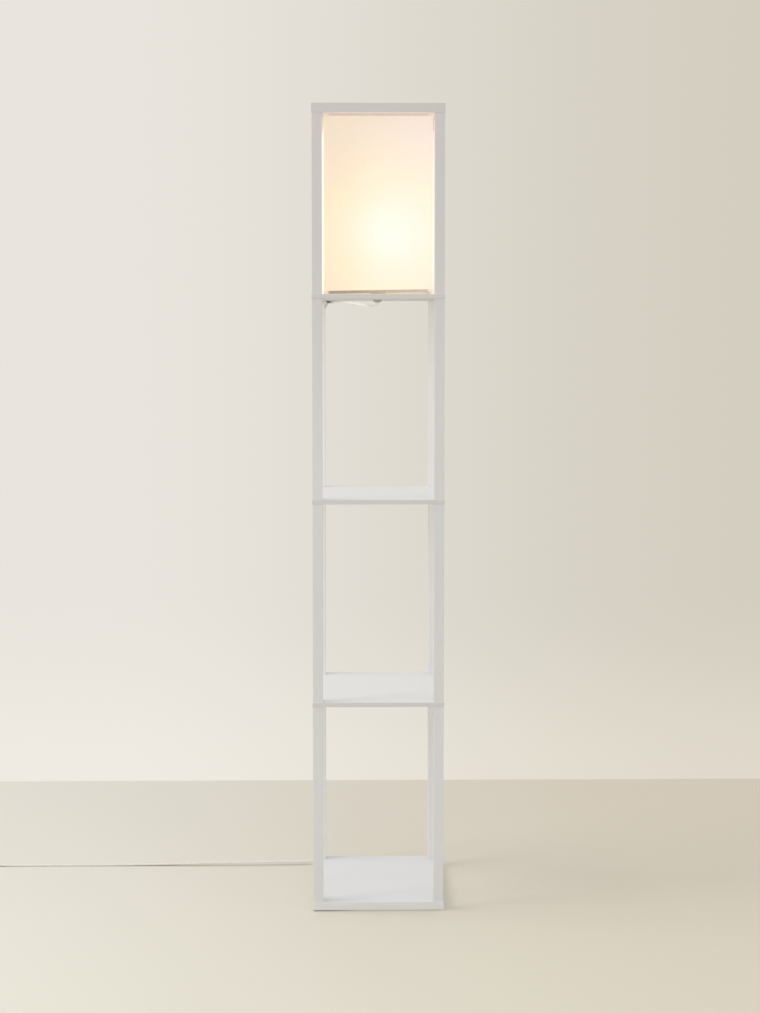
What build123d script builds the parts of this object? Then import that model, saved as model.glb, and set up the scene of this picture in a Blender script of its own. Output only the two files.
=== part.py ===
from build123d import *
import math
import os

# Shelf floor lamp, in millimetres. +Z is up, -Y is the front, and the origin is on the floor
# under the middle of the lamp. Four square boards and an open top frame stand on sixteen posts.
# A fabric shade hangs round a bulb in the top tier, and a flat twin lead runs down behind the
# back left post and along the floor to a foot switch, a coil and a plug.

# Boards, posts and top frame
BOARD_SIDE = 260.0
BOARD_CORNER = 1.5
EDGE = 0.8
BASE_THICK = 16.0
SHELF_THICK = 9.0
POST = 20.0
POST_EDGE = 1.0
POST_INSET = 1.0
POST_LENGTH = 392.0
LAMP_POST_LENGTH = 349.0
RAIL_WIDTH = 20.0
RAIL_HEIGHT = 18.0
PAD_RADIUS = 9.0
PAD_THICK = 2.0
PAD_INSET = 32.0

# Fasteners in the frame
CLEARANCE = 0.1
STUD_RADIUS = 3.0
STUD_GRIP = 12.0
STUD_CHAMFER = 0.6
INSERT_WALL = 1.4
INSERT_LENGTH = 13.0
BOLT_HEAD_RIM = 3.0
BOLT_SINK = 0.3
BOLT_SOCKET_FLATS = 4.0
BOLT_SOCKET_DEPTH = 2.2
POST_DOWEL_RADIUS = 4.0
POST_DOWEL_DROP = 16.0
POST_DOWEL_RISE = 7.0
RAIL_DOWEL_RADIUS = 2.5
RAIL_DOWEL_GRIP = 11.0
RAIL_DOWEL_HEIGHT = 13.0
BLIND_SPARE = 1.0

# Lampholder and its fixing through the lamp board
NIPPLE_RADIUS = 5.0
NIPPLE_WALL = 0.75
NIPPLE_PROUD = 1.0
NIPPLE_RISE = 5.0
WASHER_RIM = 4.0
WASHER_THICK = 1.0
NUT_WALL = 2.5
NUT_THICK = 2.6
BUSHING_RIM = 0.8
BUSHING_WALL = 0.5
BUSHING_LIP = 1.2
BUSHING_SLEEVE = 5.0
HOLDER_RADIUS = 20.0
HOLDER_WALL = 2.0
HOLDER_TAPER = 6.0
CAP_HEIGHT = 24.0
CAP_FLOOR = 4.0
CAP_SWELL = 12.0
SKIRT_HEIGHT = 30.0
SHOULDER_WIDTH = 5.5
SHOULDER_THICK = 3.0
SKIRT_THREADS = 8
SKIRT_PITCH = 3.0
THREAD_HEIGHT = 0.6
CORE_FLOOR = 5.0
CORE_DROP = 8.0
CORE_ROOM = 0.85
CORE_RECESS = 4.0
CONTACT_RADIUS = 6.0
CONTACT_THICK = 1.2
SHELL_THICK = 0.35
RING_WALL = 3.2
RING_LIP = 3.5
RING_FLANGE = 2.2
RING_HEIGHT = 9.0
RING_RIBS = 24
RING_RIB_RADIUS = 0.7

# Bulb
SCREW_CREST = 13.0
SCREW_DEPTH = 0.7
SCREW_PITCH = 3.63
SCREW_TURNS = 6
SCREW_GAP = 0.3
CAP_SHEET = 0.4
TIP_GAP = 0.2
TIP_RADIUS = 5.0
TIP_HEIGHT = 3.6
BULB_LENGTH = 110.0
GLOBE_RADIUS = 30.0
GLOBE_WALL = 1.2
COLLAR_RADIUS = 20.5
COLLAR_WALL = 1.5
COLLAR_NECK = 5.0

# Shade
SHADE_ROOM = 2.5
SHADE_WALL = 1.0
SHADE_CORNER = 4.0
SHADE_GAP = 2.6
SHADE_RISE = 1.4
HOOP_RADIUS = 1.6
HOOP_CORNER = 8.0
HOOP_GAP = 0.2
HOOP_INSET = 1.2
FITTER_ROOM = 1.0
FITTER_RIM = 11.0
FITTER_THICK = 1.6
ARM_RADIUS = 1.5

# Lead: flat twin, and its solid is a round tube as thick as the lead
CORD_WIDTH = 7.1
CORD_THICK = 3.6
CORD_SHARE = 0.45
CORNER_CLIP_SPAN = 24.0
CORNER_CLIP_LENGTH = 9.0
CORNER_CLIP_SHEET = 0.9
SCREW_HEAD_RADIUS = 2.4
SCREW_HEAD_HEIGHT = 1.3
CLIP_SPAN = 13.0
CLIP_LENGTH = 10.0
CLIP_BACK = 1.4
CLIP_ROOF = 1.1
CLIP_ROOM = 0.4
CLIP_FROM_END = 26.0
FIRST_CLIP = 62.0
LAST_CLIP = 112.0

# Foot switch on the lead
SWITCH_LENGTH = 68.0
SWITCH_WIDTH = 46.0
SWITCH_CORNER = 20.0
SWITCH_SPLIT = 7.0
SWITCH_HEIGHT = 19.0
SWITCH_WALL = 2.0
SWITCH_ROUND = 4.0
BUTTON_RADIUS = 13.5
BUTTON_GAP = 0.35
BUTTON_RISE = 5.0
BUTTON_FLANGE = 2.0
BUTTON_LIP = 1.5
BUTTON_TRAVEL = 3.0
SPRING_RADIUS = 6.0
SPRING_WALL = 1.2
TONGUE_WIDTH = 6.0
TONGUE_THICK = 0.6
TONGUE_HEIGHT = 8.0
TONGUE_FROM_END = 10.0
BOOT_LENGTH = 22.0
BOOT_START = (10.4, 8.4)
BOOT_SKIN = (1.1, 1.2)

# Plug
PLUG_LENGTH = 28.0
PLUG_WIDTH = 24.0
PLUG_THICK = 13.0
PLUG_ROUND = 3.0
TAIL_LENGTH = 22.0
TAIL_START = (15.0, 9.6)
BLADE_SPACING = 12.7
BLADE_THICK = 1.5
BLADE_LENGTH = 17.5
BLADE_WIDTHS = (6.35, 7.9)
BLADE_HOLE = 1.6
BLADE_HOLE_FROM_TIP = 4.5
BLADE_GRIP = 6.0
BLADE_GAP = 0.05

# Coil of the lead that is put away
COIL_RADIUS = 48.0
COIL_TURN_GAP = 0.8
COIL_TURNS = 3.5
COIL_LAYER_GAP = 0.45
COIL_LIFT = 0.7
COIL_START_RUN = 4.0
COIL_ASIDE = 46.0
COIL_TAIL = 33.0
COIL_SAMPLE = 3.0
COIL_APART = 40.0
TIE_WIDTH = 5.0
TIE_THICK = 0.5
TIE_ROOM = 0.5

# The lead's centre line, chosen by hand: out of the nipple, drooping to the corner clip, round
# the back left post and straight down behind it.
LEAD_ROUTE = [
    (0.0, 0.0, 1211.0),
    (0.0, 0.0, 1203.3),
    (-4.0, 4.3, 1198.0),
    (-12.0, 12.9, 1199.3),
    (-25.5, 27.8, 1202.4),
    (-41.5, 45.8, 1205.7),
    (-58.5, 65.2, 1208.3),
    (-76.5, 85.8, 1209.6),
    (-93.0, 104.5, 1209.9),
    (-103.2, 118.4, 1209.9),
    (-103.8, 134.0, 1208.8),
    (-110.2, 142.6, 1200.0),
    (-118.0, 138.2, 1184.0),
    (-119.0, 132.4, 1162.0),
    (-119.0, 132.4, 1127.0),
    (-119.4, 133.0, 1080.0),
    (-118.9, 133.8, 1023.0),
    (-118.3, 133.5, 966.0),
    (-118.6, 132.8, 910.0),
    (-119.0, 132.4, 862.0),
    (-119.0, 132.4, 826.0),
    (-119.1, 132.5, 770.0),
    (-119.7, 133.1, 715.0),
    (-120.0, 133.9, 658.0),
    (-119.6, 133.7, 600.0),
    (-119.1, 132.8, 542.0),
    (-118.9, 132.5, 484.0),
    (-119.0, 132.4, 430.0),
    (-119.0, 132.5, 374.0),
    (-118.8, 132.9, 320.0),
    (-118.2, 133.6, 266.0),
    (-118.4, 133.5, 210.0),
    (-118.8, 132.7, 156.0),
    (-119.0, 132.4, 122.0),
    (-119.0, 132.4, 100.0),
]

# From the last clip down to the floor, away to the left in a low arch, and up to the switch
RUN_ROUTE = [
    (-119.0, 132.4, 100.0),
    (-119.0, 132.4, 76.0),
    (-119.4, 133.2, 49.0),
    (-121.4, 133.2, 27.0),
    (-129.5, 132.0, 12.4),
    (-145.0, 130.2, 6.4),
    (-172.0, 128.0, 6.4),
    (-214.0, 126.4, 7.2),
    (-275.0, 125.4, 7.0),
    (-345.0, 125.2, 6.0),
    (-416.0, 125.5, 4.6),
    (-486.0, 126.1, 3.0),
    (-560.0, 126.8, 2.1),
    (-645.0, 127.0, 1.85),
    (-735.0, 126.8, 1.85),
    (-797.0, 126.2, 1.9),
    (-826.0, 126.0, 5.0),
    (-842.0, 126.0, 5.0),
]

# Heights of the frame
base_low = PAD_THICK
base_top = base_low + BASE_THICK
shelf_lows = [base_top + POST_LENGTH + n * (SHELF_THICK + POST_LENGTH) for n in range(3)]
lamp_board_low = shelf_lows[2]
lamp_floor = lamp_board_low + SHELF_THICK
rail_low = lamp_floor + LAMP_POST_LENGTH
frame_top = rail_low + RAIL_HEIGHT

# Fasteners that fit each other
stud_hole = STUD_RADIUS + CLEARANCE
insert_radius = stud_hole + INSERT_WALL
bolt_head = STUD_RADIUS + BOLT_HEAD_RIM

# Plan of the frame
post_at = BOARD_SIDE / 2 - POST_INSET - POST / 2
post_back = post_at + POST / 2
pad_at = BOARD_SIDE / 2 - PAD_INSET
rail_at = BOARD_SIDE / 2 - RAIL_WIDTH / 2
rail_face = BOARD_SIDE / 2 - RAIL_WIDTH
CORNERS = {
    "front_left": (-1, -1),
    "front_right": (1, -1),
    "back_left": (-1, 1),
    "back_right": (1, 1),
}

os.makedirs("parts", exist_ok=True)


def post_corners():
    """The four corners where posts, studs, inserts and bolts stand."""
    return GridLocations(2 * post_at, 2 * post_at, 2, 2)


# ---- Frame ----

with BuildPart() as foot_pads:
    with BuildSketch():
        with GridLocations(2 * pad_at, 2 * pad_at, 2, 2):
            Circle(PAD_RADIUS)
    extrude(amount=PAD_THICK)
foot_pads.part.label = "foot_pads"
export_step(foot_pads.part, "parts/foot_pads.step")

with BuildPart() as base_board:
    with BuildSketch(Plane.XY.offset(base_low)):
        RectangleRounded(BOARD_SIDE, BOARD_SIDE, BOARD_CORNER)
    extrude(amount=BASE_THICK)
    flats = base_board.faces().sort_by(Axis.Z)
    fillet(flats[0].edges() + flats[-1].edges(), EDGE)
    with Locations(Plane(origin=(0, 0, base_low), x_dir=(1, 0, 0), z_dir=(0, 0, -1))):
        with post_corners():
            CounterSinkHole(
                radius=stud_hole,
                counter_sink_radius=bolt_head + BOLT_SINK + CLEARANCE,
                depth=BASE_THICK,
                counter_sink_angle=90,
            )
base_board.part.label = "base_board"
export_step(base_board.part, "parts/base_board.step")

for name, low in zip(("lower_shelf", "upper_shelf", "lamp_board"), shelf_lows):
    with BuildPart() as board:
        with BuildSketch(Plane.XY.offset(low)):
            RectangleRounded(BOARD_SIDE, BOARD_SIDE, BOARD_CORNER)
        extrude(amount=SHELF_THICK)
        flats = board.faces().sort_by(Axis.Z)
        fillet(flats[0].edges() + flats[-1].edges(), EDGE)
        with BuildSketch(Plane.XY.offset(low)):
            with post_corners():
                Circle(stud_hole)
            if name == "lamp_board":
                Circle(NIPPLE_RADIUS + CLEARANCE)
        extrude(amount=SHELF_THICK, mode=Mode.SUBTRACT)
    board.part.label = name
    export_step(board.part, f"parts/{name}.step")

POST_TIERS = {
    "lower_post": (base_top, POST_LENGTH),
    "middle_post": (shelf_lows[0] + SHELF_THICK, POST_LENGTH),
    "upper_post": (shelf_lows[1] + SHELF_THICK, POST_LENGTH),
    "lamp_post": (lamp_floor, LAMP_POST_LENGTH),
}
for tier, (low, length) in POST_TIERS.items():
    hole, deep = (POST_DOWEL_RADIUS, POST_DOWEL_DROP) if tier == "lamp_post" else (insert_radius, INSERT_LENGTH)
    for corner, (side_x, side_y) in CORNERS.items():
        with BuildPart() as post:
            place = Location((side_x * post_at, side_y * post_at))
            with BuildSketch(Plane.XY.offset(low)):
                with Locations(place):
                    RectangleRounded(POST, POST, POST_EDGE)
            extrude(amount=length)
            with BuildSketch(Plane.XY.offset(low)):
                with Locations(place):
                    Circle(insert_radius + CLEARANCE)
            extrude(amount=INSERT_LENGTH + BLIND_SPARE, mode=Mode.SUBTRACT)
            with BuildSketch(Plane.XY.offset(low + length)):
                with Locations(place):
                    Circle(hole + CLEARANCE)
            extrude(amount=-deep - BLIND_SPARE, mode=Mode.SUBTRACT)
        name = f"{tier}_{corner}"
        post.part.label = name
        export_step(post.part, f"parts/{name}.step")

# The long rails run from side to side, and take the short rails' ends between them.
for name, side in (("top_rail_front", -1), ("top_rail_back", 1)):
    with BuildPart() as long_rail:
        with BuildSketch(Plane.XY.offset(rail_low)):
            with Locations((0, side * rail_at)):
                Rectangle(BOARD_SIDE, RAIL_WIDTH)
        extrude(amount=RAIL_HEIGHT)
        fillet(long_rail.edges(), EDGE)
        with BuildSketch(Plane.XY.offset(rail_low)):
            with Locations((-post_at, side * post_at), (post_at, side * post_at)):
                Circle(POST_DOWEL_RADIUS + CLEARANCE)
        extrude(amount=POST_DOWEL_RISE + BLIND_SPARE, mode=Mode.SUBTRACT)
        inner = Plane(
            origin=(0, side * rail_face, rail_low + RAIL_DOWEL_HEIGHT), x_dir=(1, 0, 0), z_dir=(0, side, 0)
        )
        with BuildSketch(inner):
            with Locations((-rail_at, 0), (rail_at, 0)):
                Circle(RAIL_DOWEL_RADIUS + CLEARANCE)
        extrude(amount=RAIL_DOWEL_GRIP + BLIND_SPARE, mode=Mode.SUBTRACT)
    long_rail.part.label = name
    export_step(long_rail.part, f"parts/{name}.step")

for name, side in (("top_rail_left", -1), ("top_rail_right", 1)):
    with BuildPart() as short_rail:
        with BuildSketch(Plane.XY.offset(rail_low)):
            with Locations((side * rail_at, 0)):
                Rectangle(RAIL_WIDTH, 2 * rail_face)
        extrude(amount=RAIL_HEIGHT)
        fillet(short_rail.edges().filter_by(Axis.Y), EDGE)
        for end in (-1, 1):
            face = Plane(
                origin=(side * rail_at, end * rail_face, rail_low + RAIL_DOWEL_HEIGHT),
                x_dir=(1, 0, 0),
                z_dir=(0, end, 0),
            )
            with BuildSketch(face):
                Circle(RAIL_DOWEL_RADIUS + CLEARANCE)
            extrude(amount=-RAIL_DOWEL_GRIP - BLIND_SPARE, mode=Mode.SUBTRACT)
    short_rail.part.label = name
    export_step(short_rail.part, f"parts/{name}.step")

# ---- Fasteners ----

insert_lows = [low for low, _ in POST_TIERS.values()]
insert_lows += [low + POST_LENGTH - INSERT_LENGTH for low, _ in list(POST_TIERS.values())[:3]]
with BuildPart() as post_inserts:
    for low in insert_lows:
        with BuildSketch(Plane.XY.offset(low)):
            with post_corners():
                Circle(insert_radius)
                Circle(stud_hole, mode=Mode.SUBTRACT)
        extrude(amount=INSERT_LENGTH)
post_inserts.part.label = "post_inserts"
export_step(post_inserts.part, "parts/post_inserts.step")

with BuildPart() as joining_studs:
    for low in shelf_lows:
        with BuildSketch(Plane.XY.offset(low - STUD_GRIP)):
            with post_corners():
                Circle(STUD_RADIUS)
        extrude(amount=SHELF_THICK + 2 * STUD_GRIP)
    chamfer(joining_studs.edges().filter_by(GeomType.CIRCLE), STUD_CHAMFER)
joining_studs.part.label = "joining_studs"
export_step(joining_studs.part, "parts/joining_studs.step")

bolt_head_low = base_low + BOLT_SINK
with BuildPart() as base_bolts:
    with BuildSketch(Plane.XY.offset(bolt_head_low)):
        with post_corners():
            Circle(STUD_RADIUS)
    extrude(amount=base_top + STUD_GRIP - bolt_head_low)
    with BuildSketch(Plane.XY.offset(bolt_head_low)):
        with post_corners():
            Circle(bolt_head)
    extrude(amount=BOLT_HEAD_RIM, taper=45)
    with BuildSketch(Plane.XY.offset(bolt_head_low)):
        with post_corners():
            RegularPolygon(BOLT_SOCKET_FLATS / 2, 6, major_radius=False)
    extrude(amount=BOLT_SOCKET_DEPTH, mode=Mode.SUBTRACT)
base_bolts.part.label = "base_bolts"
export_step(base_bolts.part, "parts/base_bolts.step")

with BuildPart() as frame_dowels:
    with BuildSketch(Plane.XY.offset(rail_low - POST_DOWEL_DROP)):
        with post_corners():
            Circle(POST_DOWEL_RADIUS)
    extrude(amount=POST_DOWEL_DROP + POST_DOWEL_RISE)
    for end in (-1, 1):
        with BuildSketch(Plane.XZ.offset(-end * rail_face)):
            with Locations((-rail_at, rail_low + RAIL_DOWEL_HEIGHT), (rail_at, rail_low + RAIL_DOWEL_HEIGHT)):
                Circle(RAIL_DOWEL_RADIUS)
        extrude(amount=RAIL_DOWEL_GRIP, both=True)
frame_dowels.part.label = "frame_dowels"
export_step(frame_dowels.part, "parts/frame_dowels.step")

# ---- Lampholder ----

nipple_bore = NIPPLE_RADIUS - NIPPLE_WALL
nut_low = lamp_board_low - WASHER_THICK - NUT_THICK
nipple_low = nut_low - NIPPLE_PROUD
with BuildPart() as mounting_nipple:
    with BuildSketch(Plane.XY.offset(nipple_low)):
        Circle(NIPPLE_RADIUS)
        Circle(nipple_bore, mode=Mode.SUBTRACT)
    extrude(amount=lamp_floor + NIPPLE_RISE - nipple_low)
mounting_nipple.part.label = "mounting_nipple"
export_step(mounting_nipple.part, "parts/mounting_nipple.step")

with BuildPart() as lock_washer:
    with BuildSketch(Plane.XY.offset(lamp_board_low - WASHER_THICK)):
        Circle(NIPPLE_RADIUS + WASHER_RIM)
        Circle(NIPPLE_RADIUS + CLEARANCE, mode=Mode.SUBTRACT)
    extrude(amount=WASHER_THICK)
lock_washer.part.label = "lock_washer"
export_step(lock_washer.part, "parts/lock_washer.step")

with BuildPart() as lock_nut:
    with BuildSketch(Plane.XY.offset(nut_low)):
        RegularPolygon(NIPPLE_RADIUS + NUT_WALL, 6, major_radius=False)
        Circle(NIPPLE_RADIUS + CLEARANCE, mode=Mode.SUBTRACT)
    extrude(amount=NUT_THICK)
lock_nut.part.label = "lock_nut"
export_step(lock_nut.part, "parts/lock_nut.step")

bushing_sleeve = nipple_bore - CLEARANCE
bushing_bore = bushing_sleeve - BUSHING_WALL
with BuildPart() as cord_bushing:
    with BuildSketch(Plane.XY.offset(nipple_low - BUSHING_LIP)):
        Circle(NIPPLE_RADIUS + BUSHING_RIM)
        Circle(bushing_bore, mode=Mode.SUBTRACT)
    extrude(amount=BUSHING_LIP)
    with BuildSketch(Plane.XY.offset(nipple_low)):
        Circle(bushing_sleeve)
        Circle(bushing_bore, mode=Mode.SUBTRACT)
    extrude(amount=BUSHING_SLEEVE)
    fillet(cord_bushing.faces().sort_by(Axis.Z)[0].edges(), BUSHING_LIP / 3)
cord_bushing.part.label = "cord_bushing"
export_step(cord_bushing.part, "parts/cord_bushing.step")

cap_top = lamp_floor + CAP_HEIGHT
cap_swell = lamp_floor + CAP_SWELL
cap_foot = HOLDER_RADIUS - HOLDER_TAPER
holder_inside = HOLDER_RADIUS - HOLDER_WALL
with BuildPart() as holder_cap:
    with BuildSketch(Plane.XZ):
        with BuildLine():
            Polyline(
                (cap_foot, lamp_floor),
                (HOLDER_RADIUS, cap_swell),
                (HOLDER_RADIUS, cap_top),
                (holder_inside, cap_top),
                (holder_inside, cap_swell),
                (cap_foot - HOLDER_WALL, lamp_floor + CAP_FLOOR),
                (NIPPLE_RADIUS + CLEARANCE, lamp_floor + CAP_FLOOR),
                (NIPPLE_RADIUS + CLEARANCE, lamp_floor),
                close=True,
            )
        make_face()
    revolve(axis=Axis.Z)
holder_cap.part.label = "holder_cap"
export_step(holder_cap.part, "parts/holder_cap.step")

shoulder_top = cap_top + SHOULDER_THICK
skirt_top = cap_top + SKIRT_HEIGHT
thread_low = shoulder_top + FITTER_THICK
core_radius = HOLDER_RADIUS - THREAD_HEIGHT
with BuildPart() as holder_skirt:
    thread = [(core_radius, shoulder_top)]
    for turn in range(SKIRT_THREADS):
        rise = thread_low + turn * SKIRT_PITCH
        thread += [
            (core_radius, rise),
            (HOLDER_RADIUS, rise + THREAD_HEIGHT),
            (HOLDER_RADIUS, rise + 2 * THREAD_HEIGHT),
            (core_radius, rise + 3 * THREAD_HEIGHT),
        ]
    with BuildSketch(Plane.XZ):
        with BuildLine():
            Polyline(
                (holder_inside, cap_top),
                (HOLDER_RADIUS + SHOULDER_WIDTH, cap_top),
                (HOLDER_RADIUS + SHOULDER_WIDTH, shoulder_top),
                *thread,
                (core_radius, skirt_top),
                (holder_inside, skirt_top),
                close=True,
            )
        make_face()
    revolve(axis=Axis.Z)
holder_skirt.part.label = "holder_skirt"
export_step(holder_skirt.part, "parts/holder_skirt.step")

core_outer = holder_inside - CLEARANCE
core_inner = SCREW_CREST + SCREW_GAP + SHELL_THICK + CORE_ROOM
core_low = cap_top - CORE_DROP
core_top = skirt_top - CORE_RECESS
seat = core_low + CORE_FLOOR
with BuildPart() as holder_insulator:
    with BuildSketch(Plane.XY.offset(core_low)):
        Circle(core_outer)
    extrude(amount=core_top - core_low)
    with BuildSketch(Plane.XY.offset(seat)):
        Circle(core_inner)
    extrude(amount=core_top - seat, mode=Mode.SUBTRACT)
holder_insulator.part.label = "holder_insulator"
export_step(holder_insulator.part, "parts/holder_insulator.step")

with BuildPart() as centre_contact:
    with BuildSketch(Plane.XY.offset(seat)):
        Circle(CONTACT_RADIUS)
    extrude(amount=CONTACT_THICK)
centre_contact.part.label = "centre_contact"
export_step(centre_contact.part, "parts/centre_contact.step")

tip_low = seat + CONTACT_THICK + TIP_GAP
screw_low = tip_low + TIP_HEIGHT
screw_top = screw_low + SCREW_TURNS * SCREW_PITCH
screw_root = SCREW_CREST - SCREW_DEPTH


def screw_profile(crest, root, sheet):
    """Half section of a thin sleeve pressed into a coarse screw, from screw_low to screw_top."""
    outside = [(root, screw_low)]
    for turn in range(SCREW_TURNS):
        rise = screw_low + turn * SCREW_PITCH
        outside += [
            (root, rise + SCREW_PITCH * 0.15),
            (crest, rise + SCREW_PITCH * 0.4),
            (crest, rise + SCREW_PITCH * 0.6),
            (root, rise + SCREW_PITCH * 0.85),
        ]
    outside += [(root, screw_top)]
    inside = [(radius - sheet, height) for radius, height in reversed(outside)]
    return outside + inside


with BuildPart() as screw_shell:
    with BuildSketch(Plane.XZ):
        with BuildLine():
            shell = SCREW_GAP + SHELL_THICK
            Polyline(*screw_profile(SCREW_CREST + shell, screw_root + shell, SHELL_THICK), close=True)
        make_face()
    revolve(axis=Axis.Z)
    with BuildSketch(Plane.XY.offset(screw_low)):
        Circle(core_inner - CLEARANCE)
        Circle(screw_root + SCREW_GAP, mode=Mode.SUBTRACT)
    extrude(amount=SHELL_THICK)
screw_shell.part.label = "screw_shell"
export_step(screw_shell.part, "parts/screw_shell.step")

ring_low = shoulder_top + FITTER_THICK + CLEARANCE
ring_bore = HOLDER_RADIUS + SCREW_GAP
ring_collar = ring_bore + RING_WALL
with BuildPart() as shade_ring:
    with BuildSketch(Plane.XY.offset(ring_low)):
        Circle(ring_collar + RING_LIP)
    extrude(amount=RING_FLANGE)
    with BuildSketch(Plane.XY.offset(ring_low)):
        Circle(ring_collar)
        with PolarLocations(ring_collar, RING_RIBS):
            Circle(RING_RIB_RADIUS)
    extrude(amount=RING_HEIGHT)
    with BuildSketch(Plane.XY.offset(ring_low)):
        Circle(ring_bore)
    extrude(amount=RING_HEIGHT, mode=Mode.SUBTRACT)
shade_ring.part.label = "shade_ring"
export_step(shade_ring.part, "parts/shade_ring.step")

# ---- Bulb ----

with BuildPart() as bulb_cap:
    with BuildSketch(Plane.XZ):
        with BuildLine():
            Polyline(*screw_profile(SCREW_CREST, screw_root, CAP_SHEET), close=True)
        make_face()
    revolve(axis=Axis.Z)
bulb_cap.part.label = "bulb_cap"
export_step(bulb_cap.part, "parts/bulb_cap.step")

cap_inside = screw_root - CAP_SHEET - CLEARANCE
with BuildPart() as bulb_contact:
    with BuildSketch(Plane.XZ):
        with BuildLine():
            Polyline(
                (0, tip_low),
                (TIP_RADIUS, tip_low),
                (screw_root, screw_low),
                (cap_inside, screw_low),
                (cap_inside, screw_low + SCREW_PITCH),
                (0, screw_low + SCREW_PITCH),
                close=True,
            )
        make_face()
    revolve(axis=Axis.Z)
bulb_contact.part.label = "bulb_contact"
export_step(bulb_contact.part, "parts/bulb_contact.step")

bulb_top = tip_low + BULB_LENGTH
globe_mid = bulb_top - GLOBE_RADIUS
collar_top = globe_mid - math.sqrt(GLOBE_RADIUS**2 - COLLAR_RADIUS**2)
neck_low = screw_top - COLLAR_NECK
neck_inside = cap_inside - COLLAR_WALL
collar_foot = screw_top + CLEARANCE
collar_waist = (SCREW_CREST + COLLAR_RADIUS) / 2 - COLLAR_WALL / 2
with BuildPart() as bulb_collar:
    with BuildSketch(Plane.XZ):
        with BuildLine():
            Polyline(
                (COLLAR_RADIUS, collar_top),
                (COLLAR_RADIUS - COLLAR_WALL, collar_top),
                (neck_inside, screw_top + COLLAR_NECK),
                (neck_inside, neck_low),
                (cap_inside, neck_low),
                (cap_inside, collar_foot),
                (SCREW_CREST, collar_foot),
            )
            ThreePointArc(
                (SCREW_CREST, collar_foot),
                (collar_waist, (collar_foot + collar_top) / 2),
                (COLLAR_RADIUS, collar_top),
            )
        make_face()
    revolve(axis=Axis.Z)
bulb_collar.part.label = "bulb_collar"
export_step(bulb_collar.part, "parts/bulb_collar.step")

with BuildPart() as bulb_globe:
    Sphere(GLOBE_RADIUS)
    Sphere(GLOBE_RADIUS - GLOBE_WALL, mode=Mode.SUBTRACT)
    split(bisect_by=Plane.XY.offset(collar_top + CLEARANCE - globe_mid), keep=Keep.TOP)
bulb_globe.part.position = (0, 0, globe_mid)
bulb_globe.part.label = "bulb_globe"
export_step(bulb_globe.part, "parts/bulb_globe.step")

# ---- Shade ----

shade_low = lamp_floor + SHADE_GAP
shade_height = rail_low + SHADE_RISE - shade_low
shade_side = 2 * (post_at - POST / 2 - SHADE_ROOM)
shade_inside = shade_side - 2 * SHADE_WALL
with BuildPart() as shade:
    with BuildSketch(Plane.XY.offset(shade_low)):
        RectangleRounded(shade_side, shade_side, SHADE_CORNER)
        RectangleRounded(shade_inside, shade_inside, SHADE_CORNER - SHADE_WALL, mode=Mode.SUBTRACT)
    extrude(amount=shade_height)
shade.part.label = "shade"
export_step(shade.part, "parts/shade.step")

hoop_half = shade_inside / 2 - HOOP_GAP - HOOP_RADIUS
lower_hoop = shade_low + HOOP_INSET + HOOP_RADIUS
upper_hoop = shade_low + shade_height - HOOP_INSET - HOOP_RADIUS


def hoop_corners(height):
    """The square hoop's four corner points."""
    return [(x * hoop_half, y * hoop_half, height) for x, y in ((1, -1), (1, 1), (-1, 1), (-1, -1))]


with BuildPart() as shade_hoop_top:
    with BuildLine() as hoop_line:
        FilletPolyline(*hoop_corners(upper_hoop), radius=HOOP_CORNER, close=True)
    with BuildSketch(Plane(origin=hoop_line.line @ 0, z_dir=hoop_line.line % 0)):
        Circle(HOOP_RADIUS)
    sweep(path=hoop_line.line)
shade_hoop_top.part.label = "shade_hoop_top"
export_step(shade_hoop_top.part, "parts/shade_hoop_top.step")

fitter_bore = HOLDER_RADIUS + FITTER_ROOM
fitter_radius = fitter_bore + FITTER_RIM
arm_in = fitter_radius - ARM_RADIUS
arm_high = shoulder_top + FITTER_THICK / 2
arm_run = Vector(hoop_half - arm_in, 0, lower_hoop - arm_high)
with BuildPart() as shade_spider:
    with BuildLine() as hoop_line:
        FilletPolyline(*hoop_corners(lower_hoop), radius=HOOP_CORNER, close=True)
    with BuildSketch(Plane(origin=hoop_line.line @ 0, z_dir=hoop_line.line % 0)):
        Circle(HOOP_RADIUS)
    sweep(path=hoop_line.line)
    with BuildSketch(Plane.XY.offset(shoulder_top)):
        Circle(fitter_radius)
        Circle(fitter_bore, mode=Mode.SUBTRACT)
    extrude(amount=FITTER_THICK)
    for quarter in range(4):
        start = Vector(arm_in, 0, arm_high).rotate(Axis.Z, 90 * quarter)
        away = arm_run.rotate(Axis.Z, 90 * quarter)
        with BuildSketch(Plane(origin=start, z_dir=away)):
            Circle(ARM_RADIUS)
        extrude(amount=arm_run.length)
shade_spider.part.label = "shade_spider"
export_step(shade_spider.part, "parts/shade_spider.step")

# ---- Lead and its clips ----

cord_radius = CORD_THICK / 2
channel_width = CORD_WIDTH + CLIP_ROOM
channel_depth = CORD_THICK + CLIP_ROOM


def cord_arcs(name, route):
    """One arc for each corner of a route, as large as its two runs allow."""
    arcs = []
    for before, here, after in zip(route, route[1:], route[2:]):
        run_in = Vector(*here) - Vector(*before)
        run_out = Vector(*after) - Vector(*here)
        half_turn = math.radians(run_in.get_angle(run_out)) / 2
        arcs.append(CORD_SHARE * min(run_in.length, run_out.length) / math.tan(half_turn))
    print(name, "radii in widths of the lead:", [round(arc / CORD_WIDTH, 1) for arc in arcs])
    return arcs


def compare_volume(name, piece, line):
    """Print a tube's volume as a share of its section times its length."""
    length = sum(edge.length for edge in line.edges())
    share = piece.volume / (math.pi * cord_radius**2 * length)
    print(name, "length", round(length), "volume share", round(share, 4))


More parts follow.
